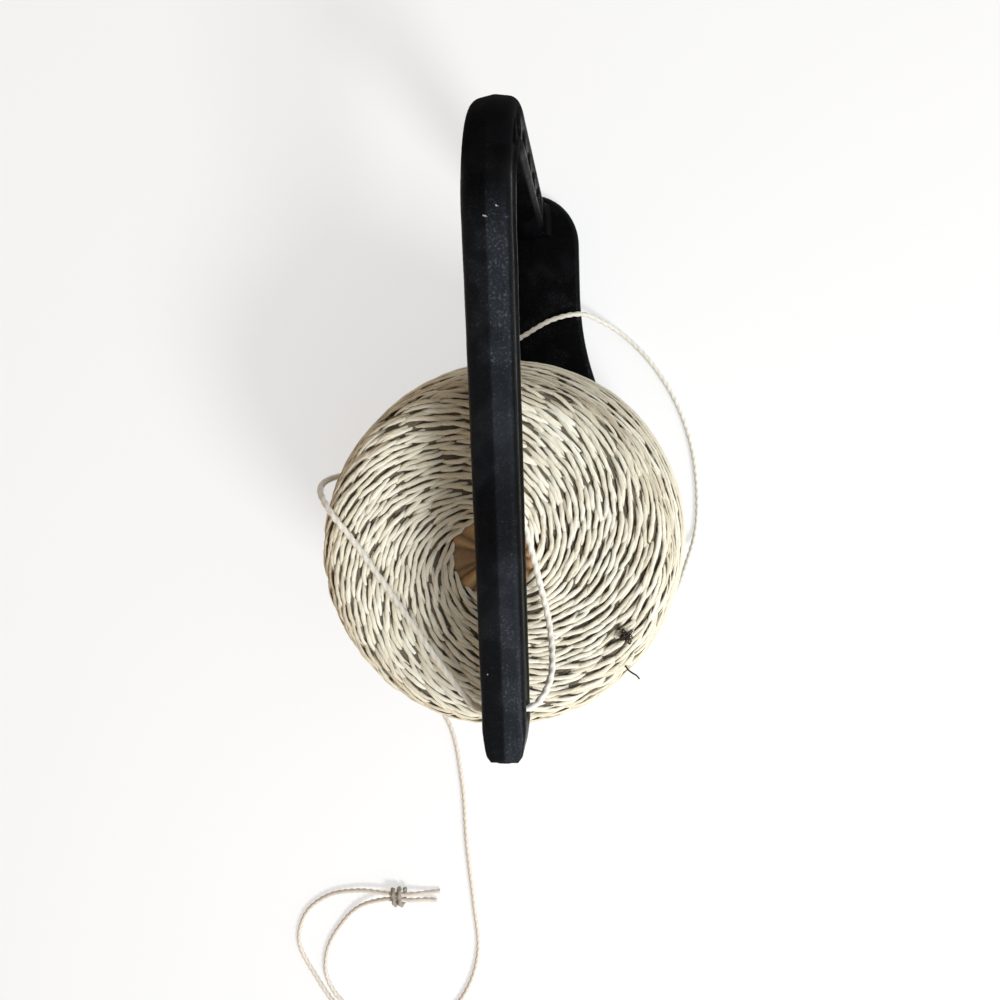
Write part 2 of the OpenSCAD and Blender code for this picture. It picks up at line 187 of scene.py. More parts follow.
@dataclass
class MeshParts:
    """Strands and lathed skins gathered into one mesh, with marks for the finish."""

    points: list[np.ndarray] = field(default_factory=list)
    lays: list[np.ndarray] = field(default_factory=list)
    marks: list[np.ndarray] = field(default_factory=list)
    faces: list[list[int]] = field(default_factory=list)
    count: int = 0
    lay_shift: float = 90.0

    def grid(self, pts: np.ndarray, lay: np.ndarray, mark: np.ndarray, closed_rows: bool = False) -> None:
        """Add a tube of rings, each ring closed on itself.

        Args:
            pts: Ring points, as rings by places round by 3.
            lay: The yarn's own coordinates at each point.
            mark: Tint, crown and sink at each point.
            closed_rows: Whether the last ring joins the first.
        """
        n, m = pts.shape[:2]
        self.points.append(pts.reshape(-1, 3))
        self.lays.append(lay.reshape(-1, 3))
        self.marks.append(mark.reshape(-1, 3))
        i = np.arange(n if closed_rows else n - 1)[:, None]
        k = np.arange(m)[None, :]
        j, k2 = (i + 1) % n, (k + 1) % m
        quads = np.stack(np.broadcast_arrays(i * m + k, i * m + k2, j * m + k2, j * m + k), -1)
        self.faces.extend((quads.reshape(-1, 4) + self.count).tolist())
        if not closed_rows:
            self.faces.append([self.count + a for a in range(m - 1, -1, -1)])
            self.faces.append([self.count + (n - 1) * m + a for a in range(m)])
        self.count += n * m

    def strand(
        self,
        line: np.ndarray,
        out: np.ndarray,
        radius: float | np.ndarray,
        tint: float,
        sink: np.ndarray | None = None,
        sides: int = 8,
        twist: float = 7.0,
        lobe: float = 0.13,
        press: float = 1.0,
        crest: float = 1.0,
    ) -> None:
        """Sweep a two-ply strand along a line.

        Args:
            line: The strand's middle line.
            out: The direction away from what it lies on, at each point.
            radius: Radius over both plies, one or for each point.
            tint: Shade of this strand, from 0 pale to 1 dark.
            sink: How deep it lies at each point, from 0 to 1; a strand in the open has none.
            sides: Points round the strand.
            twist: Length of one turn of the plies.
            lobe: How far the two plies stand out from round.
            press: Height of the strand as a share of its width.
            crest: Roundness of its crest: 1 is round, less is flatter.
        """
        tangent = tangents(line)
        side = out - tangent * (out * tangent).sum(1, keepdims=True)
        side /= np.linalg.norm(side, axis=1, keepdims=True)
        other = np.cross(tangent, side)
        s = run_length(line)[:, None]
        angle = np.linspace(0.0, TURN, sides, endpoint=False)[None, :]
        ply = angle - TURN * s / twist
        r = np.reshape(radius, (-1, 1)) * (1.0 - lobe + lobe * np.cos(2 * ply))
        lift = press * np.sign(np.cos(angle)) * np.abs(np.cos(angle)) ** crest
        ring = lift[..., None] * side[:, None] + np.sin(angle)[..., None] * other[:, None]
        lay = np.stack([np.broadcast_to(s, ply.shape) + self.lay_shift * tint, np.cos(ply), np.sin(ply)], -1)
        # The crown and sink marks tell the finish where to paint shade: on the strand's flanks and where it
        # lies deep.
        crown, deep = np.ones_like(ply), np.zeros_like(ply)
        if sink is not None:
            crown = np.broadcast_to(0.5 + 0.5 * np.cos(angle), ply.shape)
            deep = np.broadcast_to(sink[:, None], ply.shape)
        mark = np.stack([np.full_like(ply, tint), crown, deep], -1)
        self.grid(line[:, None] + r[..., None] * ring, lay, mark)

    def build(self, name: str) -> Object:
        """Write the gathered parts as one object.

        Args:
            name: Name of the piece.

        Returns:
            The object, linked to the scene.
        """
        mesh = bpy.data.meshes.new(name)
        mesh.from_pydata((np.concatenate(self.points) * MM).tolist(), [], self.faces)
        lay = mesh.attributes.new("lay", "FLOAT_VECTOR", "POINT")
        lay.data.foreach_set("vector", np.concatenate(self.lays).astype(np.float32).ravel())
        marks = np.concatenate(self.marks)
        rgba = np.hstack([marks, np.ones((len(marks), 1))]).astype(np.float32)
        mesh.attributes.new("mark", "FLOAT_COLOR", "POINT").data.foreach_set("color", rgba.ravel())
        mesh.polygons.foreach_set("use_smooth", np.ones(len(mesh.polygons), bool))
        mesh.update()
        return new_object(name, mesh)


class NodeTree:
    """A shader or group tree with short calls to add and join nodes."""

    def __init__(self, tree: bpy.types.NodeTree) -> None:
        """Hold the tree."""
        self.tree = tree

    def feed(self, node: bpy.types.Node, inputs: dict[str | int, Any]) -> None:
        """Set or link inputs of a node.

        Args:
            node: The node.
            inputs: Values, or sockets to link, by input name or index.
        """
        for key, value in inputs.items():
            if isinstance(value, Socket):
                self.tree.links.new(value, node.inputs[key])
            else:
                node.inputs[key].default_value = value

    def add(self, kind: str, inputs: dict[str | int, Any] | None = None, **settings: Any) -> bpy.types.Node:
        """Add one node.

        Args:
            kind: The node's type, without its ShaderNode prefix.
            inputs: Values, or sockets to link, by input name or index.
            **settings: Properties of the node itself.

        Returns:
            The new node.
        """
        made = self.tree.nodes.new(kind if kind.startswith("Node") else "ShaderNode" + kind)
        for key, value in settings.items():
            setattr(made, key, value)
        self.feed(made, inputs or {})
        return made

    def group(self, effect: bpy.types.NodeTree, inputs: dict[str | int, Any]) -> bpy.types.NodeOutputs:
        """Place a shared effect and return its outputs."""
        return self.add("Group", inputs, node_tree=effect).outputs

    def math(self, kind: str, a: Any, b: Any = 0.0, clamp: bool = False) -> Socket:
        """Add a math node, held from 0 to 1 where asked, and return its result."""
        return self.add("Math", {0: a, 1: b}, operation=kind, use_clamp=clamp).outputs[0]

    def times(self, first: Any, *others: Any) -> Socket:
        """Multiply values and sockets.

        Args:
            first: The first of them.
            *others: The rest.

        Returns:
            The product's socket.
        """
        for value in others:
            first = self.math("MULTIPLY", first, value)
        return first

    def vector(self, kind: str, a: Any, b: Point) -> Socket:
        """Add a vector math node and return its result."""
        return self.add("VectorMath", {0: a, 1: b}, operation=kind).outputs[0]

    def scaled(self, vector: Any, by: Any) -> Socket:
        """Scale a vector by a value or socket."""
        return self.add("VectorMath", {0: vector, "Scale": by}, operation="SCALE").outputs[0]

    def axes(self, vector: Any) -> list[Socket]:
        """Part a vector into its x, y and z."""
        return self.add("SeparateXYZ", {0: vector}).outputs[:]

    def ease(self, value: Any, span: Span, to: Span = (0.0, 1.0)) -> Socket:
        """Map a value from one range onto another, smoothly and held at both ends.

        Args:
            value: The socket to map.
            span: Start and end of its range.
            to: Results at the start and at the end.

        Returns:
            The result's socket.
        """
        (low, high), (at_low, at_high) = span, to
        inputs = {"Value": value, "From Min": low, "From Max": high, "To Min": at_low, "To Max": at_high}
        return self.add("MapRange", inputs, interpolation_type="SMOOTHSTEP").outputs["Result"]

    def mix(self, share: Any, a: Any, b: Any) -> Socket:
        """Mix two colours or sockets, by the share of the second."""
        first, second = ((*c, 1.0) if isinstance(c, tuple) else c for c in (a, b))
        return self.add("Mix", {0: share, 6: first, 7: second}, data_type="RGBA").outputs[2]

    def ramp(self, value: Any, stops: list[tuple[float, Colour]]) -> Socket:
        """Turn a value into a colour by stops.

        Args:
            value: The socket to read.
            stops: Places and colours.

        Returns:
            The colour's socket.
        """
        made = self.add("ValToRGB", {"Fac": value})
        band = made.color_ramp
        while len(band.elements) < len(stops):
            band.elements.new(0.5)
        for e, (place, colour) in zip(band.elements, stops):
            e.position, e.color = place, (*colour, 1.0)
        return made.outputs["Color"]

    def noise(self, vector: Any, scale: float, detail: float = 3.0, rough: float = 0.55) -> Socket:
        """Add a noise texture, by its scale, octaves and their strength, and return its value."""
        inputs = {"Vector": vector, "Scale": scale, "Detail": detail, "Roughness": rough}
        return self.add("TexNoise", inputs).outputs["Fac"]

    def place(self) -> Socket:
        """The object's own coordinates, in metres."""
        return self.add("TexCoord").outputs["Object"]

    def lay(self) -> Socket:
        """The yarn's own coordinates, as MeshParts writes them."""
        return self.add("Attribute", attribute_name="lay").outputs["Vector"]

    def marks(self) -> list[Socket]:
        """The tint, crown and sink that MeshParts writes."""
        colour = self.add("Attribute", attribute_name="mark").outputs["Color"]
        return self.add("SeparateColor", {0: colour}).outputs[:]

    def relief(self, height: Any, strength: float, depth: float) -> Socket:
        """Turn a height into a normal, by the share that shows and the depth in millimetres."""
        return self.add("Bump", {"Height": height, "Strength": strength, "Distance": depth * MM}).outputs[0]


class SharedEffects:
    """Node groups that more than one material uses, each built once."""

    def __init__(self) -> None:
        """Build the groups."""
        self.fibre = self._fibre()
        self.cast_skin = self._cast_skin()
        self.blotch = self._blotch()

    @staticmethod
    def _new(name: str, size: tuple[str, float] | None, outs: list[str]) -> tuple[NodeTree, Any, Any]:
        """Start a group that reads a place and, where it has one, a size.

        Args:
            name: The group's name.
            size: Name and first value of its size.
            outs: Names of its value outputs.

        Returns:
            The tree, its input node's outputs and its output node.
        """
        tree = bpy.data.node_groups.new(name, "ShaderNodeTree")
        tree.interface.new_socket("Place", in_out="INPUT", socket_type="NodeSocketVector")
        if size:
            made = tree.interface.new_socket(size[0], in_out="INPUT", socket_type="NodeSocketFloat")
            made.default_value = size[1]
        for label in outs:
            tree.interface.new_socket(label, in_out="OUTPUT", socket_type="NodeSocketFloat")
        nodes = NodeTree(tree)
        return nodes, nodes.add("NodeGroupInput").outputs, nodes.add("NodeGroupOutput")

    def _fibre(self) -> bpy.types.NodeTree:
        """Fibres that follow the plies of a strand.

        Returns:
            The group, with a streak mask and a height. Its place is the yarn's own.
        """
        n, given, out = self._new("ply_fibres", None, ["Streak", "Height"])
        length, ply_x, ply_y = n.axes(given["Place"])
        drawn = n.add("CombineXYZ", {0: n.math("MULTIPLY", length, 0.16), 1: ply_x, 2: ply_y}).outputs[0]
        streak = n.ease(n.noise(drawn, 2.6, 4.0, 0.62), (0.3, 0.7))
        hairs = n.noise(drawn, 7.5, 3.0, 0.7)
        height = n.math("ADD", n.math("MULTIPLY", streak, 0.55), n.math("MULTIPLY", hairs, 0.45))
        n.feed(out, {"Streak": streak, "Height": height})
        return n.tree

    def _cast_skin(self) -> bpy.types.NodeTree:
        """The sand-cast skin under black paint.

        Returns:
            The group, with a grit mask, a worn mask and a height.
        """
        n, given, out = self._new("cast_skin", ("Grain", 1.0), ["Grit", "Worn", "Height"])
        place = n.scaled(given["Place"], n.math("MULTIPLY", given["Grain"], 1 / MM))
        patch = n.ease(n.noise(place, 0.055, 2.0), (0.42, 0.62))
        sand = n.noise(place, 0.95, 3.0, 0.6)
        pits = n.ease(n.noise(place, 2.1, 2.0, 0.5), (0.55, 0.72))
        grit = n.math("MULTIPLY", n.ease(sand, (0.5, 0.72)), n.ease(patch, (0.0, 1.0), (0.3, 1.0)))
        rough = n.math("MULTIPLY", sand, n.ease(patch, (0.0, 1.0), (0.45, 1.0)))
        height = n.math("SUBTRACT", rough, n.math("MULTIPLY", pits, 0.25))
        n.feed(out, {"Grit": grit, "Worn": patch, "Height": height})
        return n.tree

    def _blotch(self) -> bpy.types.NodeTree:
        """Soft stains a few millimetres wide.

        Returns:
            The group, with one mask.
        """
        n, given, out = self._new("soft_stains", ("Width mm", 12.0), ["Mask"])
        place = n.scaled(given["Place"], n.math("DIVIDE", 1 / MM, given["Width mm"]))
        n.feed(out, {"Mask": n.ease(n.noise(place, 1.0, 4.0, 0.6), (0.46, 0.74))})
        return n.tree


def new_material(name: str) -> tuple[Material, NodeTree, bpy.types.Node]:
    """Start a material with one Principled shader.

    Args:
        name: The material's name.

    Returns:
        The material, its tree and its shader.
    """
    made = bpy.data.materials.new(name)
    made.use_nodes = True
    made.node_tree.nodes.clear()
    nodes = NodeTree(made.node_tree)
    shader = nodes.add("BsdfPrincipled")
    nodes.add("OutputMaterial", {"Surface": shader.outputs[0]})
    return made, nodes, shader


@dataclass(frozen=True)
class TwineFinish:
    """Two-ply twine, paler on its crowns, with painted shade on its flanks, between the strands and where a
    strand lies deep.

    The loose string takes on its dull tone where it lies on the table, more so on the left.
    """

    name: str
    pale: Colour = (0.85, 0.82, 0.7)
    mid: Colour = (0.75, 0.7, 0.56)
    dull: Colour = (0.5, 0.42, 0.29)
    painted_gap_shade: Colour = (0.05, 0.034, 0.018)
    mid_tint: float = 0.42
    streak: float = 0.34
    stain: float = 0.3
    stain_width: float = 9.0
    table_tone: float = 0.0
    table_z: Span = (30.0, 8.0)
    table_x: Span = (20.0, -20.0)
    right_share: float = 0.1
    shaded_flank_crown: Span = (0.86, 0.62)
    shaded_sink: Span = (0.35, 1.0)
    sink_shade_share: float = 0.85

    def material(self, effects: SharedEffects) -> Material:
        """Build the material.

        Args:
            effects: The shared node groups.

        Returns:
            The material.
        """
        made, n, shader = new_material(self.name)
        tint, crown, sink = n.marks()
        place = n.place()
        fibre = n.group(effects.fibre, {"Place": n.lay()})
        stains = n.group(effects.blotch, {"Place": place, "Width mm": self.stain_width})
        streaked = n.math("MULTIPLY", n.math("SUBTRACT", fibre["Streak"], 0.5), self.streak)
        shade = n.math("ADD", tint, streaked, clamp=True)
        yarn = n.ramp(shade, [(0.0, self.pale), (self.mid_tint, self.mid), (1.0, self.dull)])
        yarn = n.mix(n.math("MULTIPLY", stains["Mask"], self.stain), yarn, self.dull)
        if self.table_tone:
            x, _, z = n.axes(n.scaled(place, 1 / MM))
            low = n.ease(z, self.table_z, (0.0, self.table_tone))
            left = n.ease(x, self.table_x, (self.right_share, 1.0))
            yarn = n.mix(n.math("MULTIPLY", low, left), yarn, self.dull)
        # Painted shade: each strand's flanks (by its crown mark) and strands that lie deep (by their sink
        # mark) darken towards the colour of the gaps. Noise breaks this shade into dashes.
        gap_shade_breaks = n.ease(n.noise(place, 240.0, 2.0), (0.38, 0.58), (0.36, 1.0))
        flank = n.math("MULTIPLY", n.ease(crown, self.shaded_flank_crown), gap_shade_breaks)
        deep = n.math("ADD", flank, n.ease(sink, self.shaded_sink, (0.0, self.sink_shade_share)), clamp=True)
        look = {
            "Base Color": n.mix(deep, yarn, self.painted_gap_shade),
            "Roughness": 0.88,
            "Specular IOR Level": 0.2,
            "Sheen Weight": 0.12,
            "Sheen Roughness": 0.5,
            "Normal": n.relief(fibre["Height"], 0.55, 0.22),
        }
        n.feed(shader, look)
        return made


@dataclass(frozen=True)
class IronFinish:
    """Black japanned casting: grit with painted glints and a thin dusty layer with a painted sheen on the
    arm's right-facing top, a matt bend, small chips.

    A slope is a part of the surface's normal, and names that end in y or z are places along that axis.
    """

    name: str
    black: Colour = (0.0012, 0.0012, 0.0014)
    worn: Colour = (0.0026, 0.0028, 0.0034)
    dust_and_sheen: Colour = (0.0165, 0.0195, 0.024)
    grit_and_glint: Colour = (0.05, 0.057, 0.068)
    chip: Colour = (0.5, 0.48, 0.44)
    roughness: Span = (0.32, 0.46)
    grain: float = 1.6
    specular: float = 0.05
    relief: float = 0.26
    top_slope: Span = (0.7, 0.93)
    sheen_slope: Span = (0.0, 0.14)
    dust_sheen_y: Span = (100.0, 82.0)
    dust_sheen_z: Span = (100.0, 115.0)
    sheen_gap_y: float = 14.0
    sheen_gap_reach: Span = (4.0, 18.0)
    glint_slope: Span = (0.03, 0.16)
    free_end_y: Span = (-4.0, -22.0)
    post_end_y: Span = (35.0, 60.0)
    bend_grit_y: Span = (98.0, 87.0)
    smear: Point = (240.0, 640.0, 240.0)
    matt_y: Span = (92.0, 106.0)
    matt_z: Span = (70.0, 90.0)
    chip_form: Point = (0.55, 1.5, 0.3)
    chips: tuple[tuple[Point, float], ...] = ()

    def material(self, effects: SharedEffects) -> Material:
        """Build the material.

        Args:
            effects: The shared node groups.

        Returns:
            The material.
        """
        made, n, shader = new_material(self.name)
        place = n.place()
        skin = n.group(effects.cast_skin, {"Place": place, "Grain": self.grain})
        _, along, height = n.axes(n.scaled(place, 1 / MM))
        right, _, up = n.axes(n.add("NewGeometry").outputs["Normal"])
        top = n.ease(up, self.top_slope, (0.1, 1.0))
        # Painted sheen on a dusty layer: the arm's upward faces lighten towards blue-grey, most where they
        # turn right towards the light. It shows in patches and is weaker round 14 mm along y.
        bare = n.ease(n.math("ABSOLUTE", n.math("SUBTRACT", along, self.sheen_gap_y)), self.sheen_gap_reach, (0.4, 1.0))
        worn = n.ease(skin["Worn"], (0.0, 1.0), (0.65, 1.0))
        dust_sheen = n.times(n.ease(right, self.sheen_slope, (0.45, 1.0)), top, worn, bare)
        dust_sheen = n.times(dust_sheen, n.ease(along, self.dust_sheen_y), n.ease(height, self.dust_sheen_z))
        free_end = n.ease(along, self.free_end_y, (0.6, 1.5))
        ends = n.math("MAXIMUM", free_end, n.ease(along, self.post_end_y, (0.6, 1.7)))
        ends = n.times(ends, n.ease(along, self.bend_grit_y, (0.05, 1.0)))
        smeared = n.noise(n.vector("MULTIPLY", place, self.smear), 1.0, 3.0, 0.6)
        smeared = n.ease(smeared, (0.4, 0.62), (0.4, 1.3))
        # Painted glints: the sand grit shows grey only on upward faces that turn right towards the light,
        # most near the arm's ends.
        glint_share = n.times(n.ease(right, self.glint_slope, (0.2, 1.0)), top, ends, smeared)
        grit = n.math("MULTIPLY", skin["Grit"], glint_share, clamp=True)
        painted = n.mix(dust_sheen, n.mix(skin["Worn"], self.black, self.worn), self.dust_and_sheen)
        sandy = n.ease(n.math("ADD", skin["Worn"], skin["Grit"]), (0.0, 1.6), self.roughness)
        bend = n.times(n.ease(along, self.matt_y), n.ease(height, self.matt_z))
        look = {
            "Base Color": self._chipped(n, place, n.mix(grit, painted, self.grit_and_glint)),
            "Roughness": n.math("MAXIMUM", sandy, bend),
            "Specular IOR Level": self.specular,
            "Normal": n.relief(skin["Height"], 0.8, self.relief),
        }
        n.feed(shader, look)
        return made

    def _chipped(self, n: NodeTree, place: Socket, colour: Socket) -> Socket:
        """Add the small ragged chips to a colour.

        Args:
            n: The material's tree.
            place: The object's own coordinates.
            colour: The colour round the chips.

        Returns:
            The colour with its chips.
        """
        for middle, size in self.chips:
            away = n.vector("SUBTRACT", place, tuple(x * MM for x in middle))
            flat = n.vector("MULTIPLY", away, self.chip_form)
            far = n.add("VectorMath", {0: flat}, operation="LENGTH").outputs["Value"]
            ragged = n.ease(n.noise(place, 1900.0, 2.0), (0.35, 0.7), (0.15, 1.3))
            spot = n.math("LESS_THAN", far, n.math("MULTIPLY", ragged, size * MM))
            colour = n.mix(spot, colour, self.chip)
        return colour


@dataclass(frozen=True)
class PaperFinish:
    """Brown kraft paper with fine fibres, painted shade in its creases and painted highlights on the ridges
    of its folds.
    """

    name: str
    light: Colour = (0.56, 0.35, 0.165)
    dark: Colour = (0.07, 0.033, 0.013)
    stain: float = 0.35
    stain_width: float = 5.0

    def material(self, effects: SharedEffects) -> Material:
        """Build the material.

        Args:
            effects: The shared node groups.

        Returns:
            The material.
        """
        made, n, shader = new_material(self.name)
        # The second mark is the nose's painted light: shade in the creases and highlights on the ridges of
        # the folds.
        _, fold, _ = n.marks()
        stains = n.group(effects.blotch, {"Place": n.place(), "Width mm": self.stain_width})
        pulp = n.noise(n.lay(), 1.6, 5.0, 0.7)
        tone = n.math("ADD", n.math("MULTIPLY", fold, 0.75), n.math("MULTIPLY", pulp, 0.4), clamp=True)
        sheet = n.ramp(tone, [(0.15, self.dark), (0.75, self.light)])
        look = {
            "Base Color": n.mix(n.math("MULTIPLY", stains["Mask"], self.stain), sheet, self.dark),
            "Roughness": 0.78,
            "Normal": n.relief(pulp, 0.4, 0.2),
        }
        n.feed(shader, look)
        return made


@dataclass(frozen=True)
class SteelFinish:
    """Plain screw steel, turned and a little stained."""

    name: str
    bright: Colour = (0.4, 0.4, 0.41)
    stained: Colour = (0.16, 0.14, 0.12)
    stain_width: float = 2.5

    def material(self, effects: SharedEffects) -> Material:
        """Build the material.

        Args:
            effects: The shared node groups.

        Returns:
            The material.
        """
        made, n, shader = new_material(self.name)
        place = n.place()
        stains = n.group(effects.blotch, {"Place": place, "Width mm": self.stain_width})
        rings = {"Vector": place, "Scale": 900.0, "Distortion": 1.2}
        turned = n.add("TexWave", rings, bands_direction="Z").outputs["Fac"]
        look = {
            "Base Color": n.mix(stains["Mask"], self.bright, self.stained),
            "Metallic": 1.0,
            "Roughness": n.ease(turned, (0.0, 1.0), (0.3, 0.5)),
            "Normal": n.relief(turned, 0.2, 0.05),
        }
        n.feed(shader, look)
        return made


@dataclass
class StudioCamera:
    """The camera at the photograph's angle, almost straight above the stand."""

    place: Point = (28.151, 39.789, 315.491)
    right: Point = (0.990616, -0.034390, -0.132276)
    down: Point = (-0.019957, -0.993849, 0.108937)
    ahead: Point = (-0.135208, -0.105279, -0.985204)
    lens: float = 28.8
    sensor: float = 36.0
    clip: Span = (10.0, 50000.0)

    def build(self) -> Object:
        """Make the camera and set it in the scene.

        Returns:
            The camera.
        """
        data = bpy.data.cameras.new("studio_camera")
        data.lens, data.sensor_width, data.sensor_fit = self.lens, self.sensor, "HORIZONTAL"
        data.clip_start, data.clip_end = (x * MM for x in self.clip)
        camera = new_object("studio_camera", data)
        axes = (Vector(self.right), -Vector(self.down), -Vector(self.ahead))
        rows = [[*(axis[k] for axis in axes), self.place[k] * MM] for k in range(3)]
        camera.matrix_world = Matrix([*rows, [0.0, 0.0, 0.0, 1.0]])
        bpy.context.scene.camera = camera
        return camera


@dataclass
class Studio:
    """A plain pale floor, a soft light from the right and in front, and a sky that is warm on the left.

    The sky's spans are ranges of a direction's x, y or z.
    """

    half_floor: float = 4000.0
    floor_z: float = -0.2
    floor_tones: tuple[Colour, Colour] = ((0.86, 0.855, 0.85), (0.88, 0.878, 0.872))
    floor_white: float = 0.6
    key_place: Point = (390.0, -380.0, 590.0)
    key_aim: Point = (0.0, 10.0, 60.0)
    key_size: float = 230.0
    key_power: float = 5.4
    key_tone: Colour = (0.96, 0.985, 1.0)
    sky_level: float = 1.16
    sky_dark: float = 0.02
    sky_warm: Colour = (1.0, 0.73, 0.47)
    sky_cool: Colour = (0.93, 0.97, 1.0)
    warm_to_cool: Span = (-0.3, 0.4)
    right_sky: Span = (-0.15, 0.45)
    low_sky: Span = (0.78, 0.3)
    back_sky: Span = (0.95, 0.1)
    back_share: float = 0.25

    def build(self) -> None:
        """Make the floor, the lamp and the sky."""
        scene = bpy.context.scene
        scene.view_settings.view_transform = "Standard"
        h, z = self.half_floor * MM, self.floor_z * MM
        mesh = bpy.data.meshes.new("studio_floor")
        mesh.from_pydata([(-h, -h, z), (h, -h, z), (h, h, z), (-h, h, z)], [], [(0, 1, 2, 3)])
        floor = new_object("studio_floor", mesh)
        floor.data.materials.append(self._floor_material())
        lamp = bpy.data.lights.new("studio_key", "AREA")
        lamp.shape, lamp.size, lamp.energy = "DISK", self.key_size * MM, self.key_power
        lamp.color = self.key_tone
        key = new_object("studio_key", lamp)
        key.location = Vector(self.key_place) * MM
        key.rotation_euler = (Vector(self.key_aim) * MM - key.location).to_track_quat("-Z", "Y").to_euler()
        self._sky(scene)

    @staticmethod
    def _seen(n: NodeTree) -> Socket:
        """The share of rays that show the backdrop itself: seen, mirrored or through glass.

        Args:
            n: The tree to add to.

        Returns:
            A socket that is 1 on such rays.
        """
        rays = n.add("LightPath").outputs
        shown = n.math("MAXIMUM", rays["Is Camera Ray"], rays["Is Glossy Ray"])
        return n.math("MAXIMUM", shown, rays["Is Transmission Ray"])

    def _floor_material(self) -> Material:
        """Pale matt floor that keeps the shadow.

        Returns:
            The material.
        """
        made, n, shader = new_material("pale_floor")
        darker, paler = self.floor_tones
        tone = n.ramp(n.noise(n.place(), 3.0, 2.0), [(0.3, darker), (0.7, paler)])
        n.feed(shader, {"Base Color": tone, "Roughness": 1.0, "Specular IOR Level": 0.0})
        white = n.add("Emission", {"Color": (1.0, 1.0, 1.0, 1.0), "Strength": 1.0})
        share = n.math("MULTIPLY", self._seen(n), self.floor_white)
        blend = n.add("MixShader", {0: share, 1: shader.outputs[0], 2: white.outputs[0]})
        out = next(node for node in n.tree.nodes if node.type == "OUTPUT_MATERIAL")
        n.feed(out, {"Surface": blend.outputs[0]})
        return made

    def _sky(self, scene: bpy.types.Scene) -> None:
        """Warm sky round the horizon, cool sky to the right, dim overhead and behind.

        Args:
            scene: The scene to light.
        """
        world = bpy.data.worlds.new("studio_sky")
        world.use_nodes = True
        world.node_tree.nodes.clear()
        n = NodeTree(world.node_tree)
        x, y, z = n.axes(n.add("TexCoord").outputs["Generated"])
        levels = (self.sky_dark, self.sky_level)
        low = n.times(n.ease(z, self.low_sky, levels), n.ease(y, self.back_sky, (self.back_share, 1.0)))
        right = n.ease(x, self.right_sky, levels)
        tone = n.mix(n.ease(x, self.warm_to_cool), self.sky_warm, self.sky_cool)
        ground = n.add("Background", {"Color": tone, "Strength": n.math("MAXIMUM", low, right)})
        n.add("OutputWorld", {"Surface": ground.outputs[0]})
        scene.world = world


@dataclass
class PackageSkin:
    """The package's skin: radius and height, walked outwards from the paper nose and down to the foot."""

    axis_x: float = -5.0
    start_r: float = 11.5
    nose_r: float = 12.6
    top_r: float = 43.0
    rim_r: float = 51.2
    belly_r: float = 58.0
    foot_r: float = 47.0
    top_z: float = 97.0
    rim_z: float = 90.0
    belly_z: float = 40.0
    foot_z: float = 6.1
    dip: float = 2.0
    top_points: int = 40
    shoulder_points: int = 32
    side_points: int = 90

    def __post_init__(self) -> None:
        """Lay out the curve, its length and its outward directions."""
        r = np.linspace(self.start_r, self.top_r, self.top_points)
        top = np.stack([r, self.top_z - self.dip * (self.top_r - r) / (self.top_r - self.nose_r)], 1)
        a = np.linspace(TURN / 4, 0.0, self.shoulder_points)[1:]
        shoulder_r = self.top_r + (self.rim_r - self.top_r) * np.cos(a)
        shoulder_z = self.rim_z + (self.top_z - self.rim_z) * np.sin(a)
        z = np.linspace(self.rim_z, self.foot_z, self.side_points)[1:]
        above = (self.belly_r - self.rim_r) * ((z - self.belly_z) / (self.rim_z - self.belly_z)) ** 2
        below = (self.belly_r - self.foot_r) * ((self.belly_z - z) / (self.belly_z - self.foot_z)) ** 2
        side = np.stack([self.belly_r - np.where(z > self.belly_z, above, below), z], 1)
        self.curve = np.vstack([top, np.stack([shoulder_r, shoulder_z], 1), side])
        self.length = run_length(self.curve)
        along = np.gradient(self.curve, self.length, axis=0)
        along /= np.linalg.norm(along, axis=1, keepdims=True)
        self.outward = np.stack([-along[:, 1], along[:, 0]], 1)
        self.rim_t = float(self.length[len(top) + len(a) - 1])
        self.top_t = float(self.length[len(top) - 1])
        self.foot_t = float(self.length[-1])

    def radius(self, t: np.ndarray | float) -> np.ndarray:
        """Radius at a length along the curve."""
        return np.interp(t, self.length, self.curve[:, 0])

    def ring(self, r: np.ndarray | float, z: np.ndarray | float, angle: np.ndarray) -> np.ndarray:
        """Points of a ring round the package's axis."""
        return np.stack([self.axis_x + r * np.cos(angle), r * np.sin(angle), np.full(len(angle), z)], -1)

    def lay(self, t: np.ndarray, angle: np.ndarray, depth: np.ndarray) -> tuple[np.ndarray, np.ndarray]:
        """Place points under the skin.

        Args:
            t: Lengths along the curve.
            angle: Angles round the package's axis.
            depth: Depths below the skin.

        Returns:
            The points, and the outward direction at each.
        """
        nr, nz = (np.interp(t, self.length, self.outward[:, k]) for k in (0, 1))
        r = self.radius(t) - nr * depth
        z = np.interp(t, self.length, self.curve[:, 1]) - nz * depth
        c, s = np.cos(angle), np.sin(angle)
        return np.stack([self.axis_x + r * c, r * s, z], -1), np.stack([nr * c, nr * s, nz], -1)


